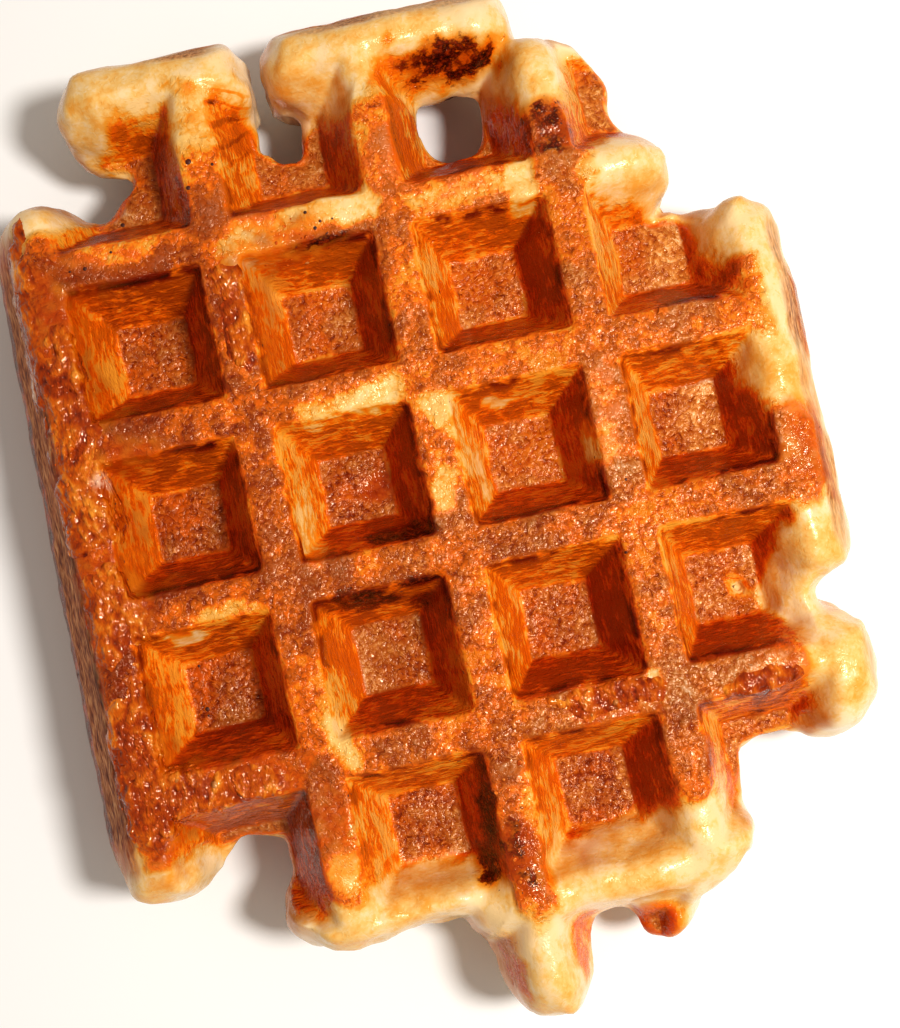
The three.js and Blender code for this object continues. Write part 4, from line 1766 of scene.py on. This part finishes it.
@dataclass
class Crust:
    """The waffle's fine surface, what baking did to each point of it, and the shade painted on its
    walls.
    """

    baking: Baking
    sites: Array  # points before relief, with heights from mid height
    points: Array  # points with relief, with heights from the floor
    normals: Array
    faces: Array
    layers: dict[Layer, Array]

    @classmethod
    def form(cls, shape: WaffleShape, spacing: Spacing) -> "Crust":
        """Meshes a waffle and bakes it.

        Args:
            shape: The waffle's shape.
            spacing: How close the mesh's lines lie.

        Returns:
            The crust.
        """
        sites, faces = FineMesh(shape, spacing).build()
        normals = point_normals(sites, faces)
        baking = Baking(shape)
        layers = baking.layers(sites, normals)
        points = sites + normals * Relief().depths(sites, layers)[:, None]
        points[:, 2] = np.maximum(points[:, 2] + shape.lattice.mid, 0)
        return cls(baking, sites, points, normals, faces, layers)

    def cover(self, spots: Sequence[Spot], ragged: float, outer: float, inner: float) -> Array:
        """How strongly spots show at each point of the upper face."""
        return self.baking.spots(self.sites, spots, ragged, outer, inner) * (self.sites[:, 2] > 0)


def split_quads(points: Array, faces: Array) -> tuple[Array, Array]:
    """Splits each quad into four.

    Args:
        points: Points, one a row, with any number of columns.
        faces: Four corners a row.

    Returns:
        The points, old ones first, and the faces.
    """
    edges = np.stack([faces, np.roll(faces, -1, axis=1)], axis=2).reshape(-1, 2)
    unique, index = np.unique(np.sort(edges, axis=1), axis=0, return_inverse=True)
    middle = len(points) + index.reshape(-1, 4)
    hub = len(points) + len(unique) + np.arange(len(faces))
    parts = [np.stack([faces[:, k], middle[:, k], hub, middle[:, k - 1]], axis=1) for k in range(4)]
    added = [points, points[unique].mean(axis=1), points[faces].mean(axis=1)]
    return np.concatenate(added), np.concatenate(parts)


def rim_edges(faces: Array) -> Array:
    """Edges that only one of the faces has, in that face's direction.

    Args:
        faces: Corners of each face.

    Returns:
        Two points a row.
    """
    edges = np.stack([faces, np.roll(faces, -1, axis=1)], axis=2).reshape(-1, 2)
    _, index, uses = np.unique(np.sort(edges, axis=1), axis=0, return_inverse=True,
                               return_counts=True)
    return edges[uses[index.reshape(-1)] == 1]


def without_pinches(faces: Array) -> Array:
    """Drops the faces round points where a sheet's outline meets itself.

    Args:
        faces: Corners of each face.

    Returns:
        The faces that stay.
    """
    while True:
        pinched = np.bincount(rim_edges(faces).ravel(), minlength=faces.max() + 1) > 2
        if not pinched.any():
            return faces
        faces = faces[~pinched[faces].any(axis=1)]


def close_sheet(top: Array, bottom: Array, faces: Array) -> tuple[Array, Array]:
    """Closes the upper and lower side of a sheet into a solid.

    Args:
        top: Points of the upper side.
        bottom: The same points of the lower side.
        faces: The upper side's faces.

    Returns:
        The solid's points and faces.
    """
    count, rim = len(top), rim_edges(faces)
    sides = np.stack([rim[:, 1], rim[:, 0], rim[:, 0] + count, rim[:, 1] + count], axis=1)
    return np.concatenate([top, bottom]), np.concatenate([faces, faces[:, ::-1] + count, sides])


@dataclass
class WaffleBody:
    """The baked waffle itself."""

    crust: Crust
    finish: CrustFinish = field(default_factory=CrustFinish)

    def build(self) -> bpy.types.Object:
        """Makes and dresses the waffle.

        Returns:
            The waffle's object.
        """
        crust = self.crust
        item = make_object("waffle_body", crust.points * MM, crust.faces, crust.layers)
        item.data.materials.append(self.finish.build())
        dress(item, "crust")
        return item


@dataclass
class CaramelFilm:
    """Caramel that ran along the left border and over some ridges."""

    crust: Crust
    finish: SugarFinish = field(default_factory=lambda: SugarFinish("caramel", (
        (0.2, "641400"), (0.42, "9e3a00"), (0.6, "c25c04"), (0.8, "e49030"))))
    noise: Noise = field(default_factory=lambda: Noise(57))
    thickness: float = 0.34
    ripple: float = 0.2
    sunk: float = 0.14  # how far its edge dips into the crust
    root: float = 0.5  # how far its hidden side lies in the crust
    ripple_lengths: tuple[float, float] = (1.5, 0.75)

    def lift(self) -> Array:
        """How far the film's surface lies over each point of the crust.

        Returns:
            Millimetres.
        """
        cover = self.crust.cover(FILM_SPOTS, ragged=0.6, outer=1.3, inner=0.6)
        ripple = self.ripple * cover * self.noise(self.crust.sites, self.ripple_lengths[0])
        return cover * (self.thickness + self.sunk) - self.sunk + ripple

    def build(self) -> bpy.types.Object:
        """Makes and dresses the film.

        Returns:
            The film's object.
        """
        crust, lift = self.crust, self.lift()
        faces = without_pinches(crust.faces[(lift[crust.faces] > -0.9 * self.sunk).any(axis=1)])
        used, index = np.unique(faces, return_inverse=True)
        lace = crust.cover(LACE_SPOTS, ragged=0.6, outer=1.3, inner=0.5)
        table = np.column_stack([crust.points, crust.normals, lift, lace])[used]
        table, faces = split_quads(table, index.reshape(-1, 4))
        points, normals, lift, lace = table[:, :3], table[:, 3:6], table[:, 6:7], table[:, 7]
        wave = 0.4 * self.ripple * self.noise(points, self.ripple_lengths[1])[:, None]
        top = points + normals * (lift + wave * (lift > 0))
        points, faces = close_sheet(top, points - normals * self.root, faces)
        item = make_object("caramel_film", points * MM, faces, {Layer.LACE: np.tile(lace, 2)})
        item.data.materials.append(self.finish.build())
        dress(item, "glaze")
        return item


@dataclass(frozen=True)
class Bits:
    """Size and form of one kind of small bit, in millimetres."""

    least: float
    most: float
    stretch: float = 1  # length over width
    flatness: float = 0.5  # height over width
    uneven: float = 0  # share of its size by which a bit's form wanders
    detail: int = 2
    seed: int = 1


class Scatter:
    """Small bits on given sites, by Geometry Nodes."""

    UP, ALONG, GROW = "up", "along", "grow"
    LUMP = 0.7  # length of the unevenness, in millimetres

    def __init__(self, name: str, bits: Bits, material: bpy.types.Material) -> None:
        """Names the kind of bit.

        Args:
            name: Name of the piece.
            bits: The bits' size and form.
            material: Their material.
        """
        self.name, self.bits, self.material = name, bits, material

    def _tree(self) -> tuple[bpy.types.NodeTree, dict[str, str]]:
        """Builds the node tree, and gives its inputs' identifiers by name.

        Returns:
            The tree and the identifiers.
        """
        tree = bpy.data.node_groups.new(self.name, "GeometryNodeTree")
        face, ids = tree.interface, {}
        face.new_socket("Geometry", in_out="INPUT", socket_type="NodeSocketGeometry")
        face.new_socket("Geometry", in_out="OUTPUT", socket_type="NodeSocketGeometry")
        for label in ("Least", "Most", "Stretch", "Flatness", "Unevenness"):
            ids[label] = face.new_socket(label, in_out="INPUT",
                                         socket_type="NodeSocketFloat").identifier
        for label in ("Detail", "Seed"):
            ids[label] = face.new_socket(label, in_out="INPUT",
                                         socket_type="NodeSocketInt").identifier

        def add(kind: str, **settings: object) -> bpy.types.Node:
            """Adds a node with its settings."""
            node = tree.nodes.new(kind)
            for key, value in settings.items():
                setattr(node, key, value)
            return node

        def product(a: Socket, b: Socket) -> Socket:
            """Multiplies two values."""
            node = add("ShaderNodeMath", operation="MULTIPLY")
            join(a, node.inputs[0])
            join(b, node.inputs[1])
            return node.outputs[0]

        join = tree.links.new
        given, result = add("NodeGroupInput"), add("NodeGroupOutput")
        ball = add("GeometryNodeMeshIcoSphere")
        join(given.outputs["Detail"], ball.inputs["Subdivisions"])
        ball.inputs["Radius"].default_value = 1
        size = add("FunctionNodeRandomValue", data_type="FLOAT")
        join(given.outputs["Least"], size.inputs[2])
        join(given.outputs["Most"], size.inputs[3])
        join(given.outputs["Seed"], size.inputs["Seed"])
        grow = add("GeometryNodeInputNamedAttribute", data_type="FLOAT")
        grow.inputs["Name"].default_value = self.GROW
        width = product(size.outputs[1], grow.outputs["Attribute"])
        scale = add("ShaderNodeCombineXYZ")
        join(product(width, given.outputs["Stretch"]), scale.inputs[0])
        join(width, scale.inputs[1])
        join(product(width, given.outputs["Flatness"]), scale.inputs[2])
        turn = add("FunctionNodeAxesToRotation", primary_axis="Z", secondary_axis="X")
        for label, socket in ((self.UP, 0), (self.ALONG, 1)):
            axis = add("GeometryNodeInputNamedAttribute", data_type="FLOAT_VECTOR")
            axis.inputs["Name"].default_value = label
            join(axis.outputs["Attribute"], turn.inputs[socket])
        spread = add("GeometryNodeInstanceOnPoints")
        join(given.outputs["Geometry"], spread.inputs["Points"])
        join(ball.outputs["Mesh"], spread.inputs["Instance"])
        join(turn.outputs["Rotation"], spread.inputs["Rotation"])
        join(scale.outputs["Vector"], spread.inputs["Scale"])
        real = add("GeometryNodeRealizeInstances")
        join(spread.outputs["Instances"], real.inputs["Geometry"])
        noise = add("ShaderNodeTexNoise")
        noise.inputs["Scale"].default_value = 1 / (self.LUMP * MM)
        middle = add("ShaderNodeVectorMath", operation="SUBTRACT")
        join(noise.outputs["Color"], middle.inputs[0])
        middle.inputs[1].default_value = (0.5, 0.5, 0.5)
        shift = add("ShaderNodeVectorMath", operation="SCALE")
        join(middle.outputs["Vector"], shift.inputs["Vector"])
        join(product(given.outputs["Unevenness"], given.outputs["Most"]), shift.inputs["Scale"])
        move = add("GeometryNodeSetPosition")
        join(real.outputs["Geometry"], move.inputs["Geometry"])
        join(shift.outputs["Vector"], move.inputs["Offset"])
        smooth = add("GeometryNodeSetShadeSmooth")
        join(move.outputs["Geometry"], smooth.inputs["Geometry"])
        paint = add("GeometryNodeSetMaterial")
        paint.inputs["Material"].default_value = self.material
        join(smooth.outputs["Geometry"], paint.inputs["Geometry"])
        join(paint.outputs["Geometry"], result.inputs["Geometry"])
        return tree, ids

    def build(self, points: Array, up: Array, along: Array, grow: Array) -> bpy.types.Object:
        """Makes the bits as one plain mesh.

        Args:
            points: Sites in millimetres.
            up: Direction away from the crust at each site.
            along: Direction of each bit's length.
            grow: Share of its drawn size that each bit keeps.

        Returns:
            The piece.
        """
        sites = make_object(self.name + "_sites", points * MM, np.empty((0, 3), int))
        for label, kind, values, key in ((self.UP, "FLOAT_VECTOR", up, "vector"),
                                         (self.ALONG, "FLOAT_VECTOR", along, "vector"),
                                         (self.GROW, "FLOAT", grow, "value")):
            attribute = sites.data.attributes.new(label, kind, "POINT")
            attribute.data.foreach_set(key, np.ascontiguousarray(values, np.float32).ravel())
        tree, ids = self._tree()
        modifier = sites.modifiers.new("bits", "NODES")
        modifier.node_group = tree
        bits = self.bits
        for label, value in (("Least", bits.least * MM), ("Most", bits.most * MM),
                             ("Stretch", float(bits.stretch)), ("Flatness", float(bits.flatness)),
                             ("Unevenness", float(bits.uneven)), ("Detail", bits.detail),
                             ("Seed", bits.seed)):
            modifier[ids[label]] = value
        graph = bpy.context.evaluated_depsgraph_get()
        mesh = bpy.data.meshes.new_from_object(sites.evaluated_get(graph))
        sites.modifiers.clear()
        bpy.data.objects.remove(sites)
        item = bpy.data.objects.new(self.name, mesh)
        bpy.context.scene.collection.objects.link(item)
        return item


@dataclass
class CrustBits:
    """What lies on the crust in many small bits: sugar beads, burnt slivers, and dark specks that
    paint the shade of pinholes.
    """

    crust: Crust
    film_lift: Array
    caramel: Bits = Bits(least=0.14, most=0.4, stretch=1.25, uneven=0.25, seed=5)
    pearl: Bits = Bits(least=0.16, most=0.38, stretch=1.4, uneven=0.3, detail=3, seed=9)
    sliver: Bits = Bits(least=0.05, most=0.14, stretch=2.4, flatness=0.35, uneven=0.5, seed=13)
    pinhole: Bits = Bits(least=1, most=1, flatness=0.3, uneven=0.12)
    caramel_count: int = 290
    pearl_count: int = 14
    sliver_count: int = 300
    caramel_lift: float = 0.02  # of a bead's middle over the film
    pearl_lift: float = 0.04
    pinhole_share: float = 0.8
    caramel_finish: SugarFinish = SugarFinish("caramel_bead", (
        (0.3, "9c3206"), (0.5, "cc5a10"), (0.7, "e88a38")))
    pearl_finish: SugarFinish = SugarFinish("pearl_sugar", (
        (0.3, "8e4212"), (0.5, "ac642a"), (0.7, "cc8c50")))
    speck_finish: SpeckFinish = SpeckFinish()

    def build(self) -> None:
        """Makes and dresses every kind of bit."""
        crust = self.crust
        beads = crust.cover(BEAD_SPOTS, ragged=0.4, outer=1.3, inner=0.5)
        upper = crust.sites[:, 2] > 0
        lips = crust.layers[Layer.LIP] * upper
        lips = lips * ramp(crust.baking.noise(crust.sites + 7, 6), -0.05, 0.35)
        lips = lips + 0.6 * upper * crust.layers[Layer.CHAR]
        self._scatter("caramel_beads", self.caramel, self.caramel_finish, "glaze", beads,
                      self.caramel_count, self.caramel_lift)
        self._scatter("pearl_sugar", self.pearl, self.pearl_finish, "sugar", beads**2,
                      self.pearl_count, self.pearl_lift)
        self._scatter("burnt_slivers", self.sliver, self.speck_finish, "crust", lips,
                      self.sliver_count, 0)
        self._pinholes()

    def _scatter(self, name: str, bits: Bits, finish: SugarFinish | SpeckFinish, slot: str,
                 share: Array, count: int, lift: float) -> None:
        """Scatters one kind of bit where `share` is high.

        Args:
            name: Name of the piece.
            bits: The bits' size and form.
            finish: Their finish.
            slot: Their finish slot.
            share: How likely a bit is at each point of the crust.
            count: How many.
            lift: How far a bit's middle lies over the crust or the film.
        """
        crust, draw = self.crust, np.random.default_rng(bits.seed)
        corners = crust.points[crust.faces]
        area = np.linalg.norm(np.cross(corners[:, 2] - corners[:, 0],
                                       corners[:, 3] - corners[:, 1]), axis=1)
        weight = share[crust.faces].mean(axis=1) * area
        pick = crust.faces[draw.choice(len(weight), count, replace=False, p=weight / weight.sum())]
        part = draw.random((count, 4, 1)) + 0.2
        part /= part.sum(axis=1, keepdims=True)
        point = (crust.points[pick] * part).sum(axis=1)
        up = (crust.normals[pick] * part).sum(axis=1)
        over = np.maximum((self.film_lift[pick] * part[:, :, 0]).sum(axis=1), 0) + lift
        along = np.cross(up, (0, 0, 1)) + 0.25 * draw.normal(size=(count, 3))
        grow = 0.5 + 0.5 * draw.random(count) ** 2
        scatter = Scatter(name, bits, finish.build())
        dress(scatter.build(point + up * over[:, None], up, along, grow), slot)

    def _pinholes(self) -> None:
        """Sets a dark speck at each pinhole, the painted shade of a small pit, where it belongs."""
        crust, grid = self.crust, self.crust.baking.shape.lattice
        upper = np.flatnonzero(crust.sites[:, 2] > 0)
        spots = [upper[np.argmin(np.hypot(crust.sites[upper, 0] - grid.x_of(spot.across),
                                          crust.sites[upper, 1] - grid.y_of(spot.down)))]
                 for spot in PINHOLES]
        along = np.tile((1.0, 0.3, 0.0), (len(spots), 1))
        grow = self.pinhole_share * np.array([spot.long for spot in PINHOLES])
        scatter = Scatter("pinholes", self.pinhole, self.speck_finish.build())
        dress(scatter.build(crust.points[spots], crust.normals[spots], along, grow), "crust")


@dataclass
class Studio:
    """Floor, lights and camera."""

    picture: tuple[int, int] = (900, 1028)
    focal_pixels: float = 1490  # focal length, in pixels of the picture
    camera_place: tuple[float, float, float] = (-8.54, -14.49, 225.68)
    camera_turn: tuple[float, float, float] = (3.901, -1.545, -12.033)
    sensor: float = 36
    floor_half: float = 1500
    sky: float = 0.36
    sky_color: tuple[float, float, float] = (1, 0.89, 0.77)
    key_place: tuple[float, float, float] = (176, -52, 408)
    key_size: float = 80
    key_power: float = 1.66
    key_color: tuple[float, float, float] = (1, 0.94, 0.86)
    look: str = "Medium High Contrast"
    finish: FloorFinish = field(default_factory=FloorFinish)

    def build(self) -> None:
        """Sets up everything that isn't the waffle."""
        self._floor()
        self._lights()
        self._camera()
        view = bpy.context.scene.view_settings
        view.view_transform = "Standard"
        view.look = self.look

    def _floor(self) -> None:
        """Lays the floor."""
        half = self.floor_half * MM
        corners = np.array([(-half, -half, 0), (half, -half, 0), (half, half, 0), (-half, half, 0)])
        floor = make_object("floor", corners, np.array([[0, 1, 2, 3]]))
        floor.data.materials.append(self.finish.build())

    def _lights(self) -> None:
        """Sets the soft sky and the key light."""
        world = bpy.data.worlds.new("studio")
        world.use_nodes = True
        background = world.node_tree.nodes["Background"]
        background.inputs["Color"].default_value = (*self.sky_color, 1)
        background.inputs["Strength"].default_value = self.sky
        bpy.context.scene.world = world
        light = bpy.data.lights.new("key", "AREA")
        light.shape = "DISK"
        light.size = self.key_size * MM
        light.energy = self.key_power
        light.color = self.key_color
        key = bpy.data.objects.new("key", light)
        key.location = Vector(self.key_place) * MM
        key.rotation_euler = key.location.to_track_quat("Z", "Y").to_euler()
        bpy.context.scene.collection.objects.link(key)

    def _camera(self) -> None:
        """Sets the camera over the waffle."""
        data = bpy.data.cameras.new("camera")
        data.sensor_fit = "VERTICAL"
        data.sensor_height = self.sensor
        data.lens = self.focal_pixels / self.picture[1] * self.sensor
        data.clip_start = 1 * MM
        camera = bpy.data.objects.new("camera", data)
        camera.location = Vector(self.camera_place) * MM
        camera.rotation_euler = Euler([math.radians(angle) for angle in self.camera_turn], "XYZ")
        bpy.context.scene.collection.objects.link(camera)
        bpy.context.scene.camera = camera


def main() -> None:
    """Builds the scene, sub-assembly by sub-assembly."""
    logging.basicConfig(level=logging.INFO, format="%(name)s: %(message)s")
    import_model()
    lattice = Lattice()
    shape = WaffleShape(Plates(lattice), Dough(lattice))
    Studio().build()
    crust = Crust.form(shape, Spacing())
    WaffleBody(crust).build()
    film = CaramelFilm(crust)
    film.build()
    CrustBits(crust, film.lift()).build()


if __name__ == "__main__":
    main()
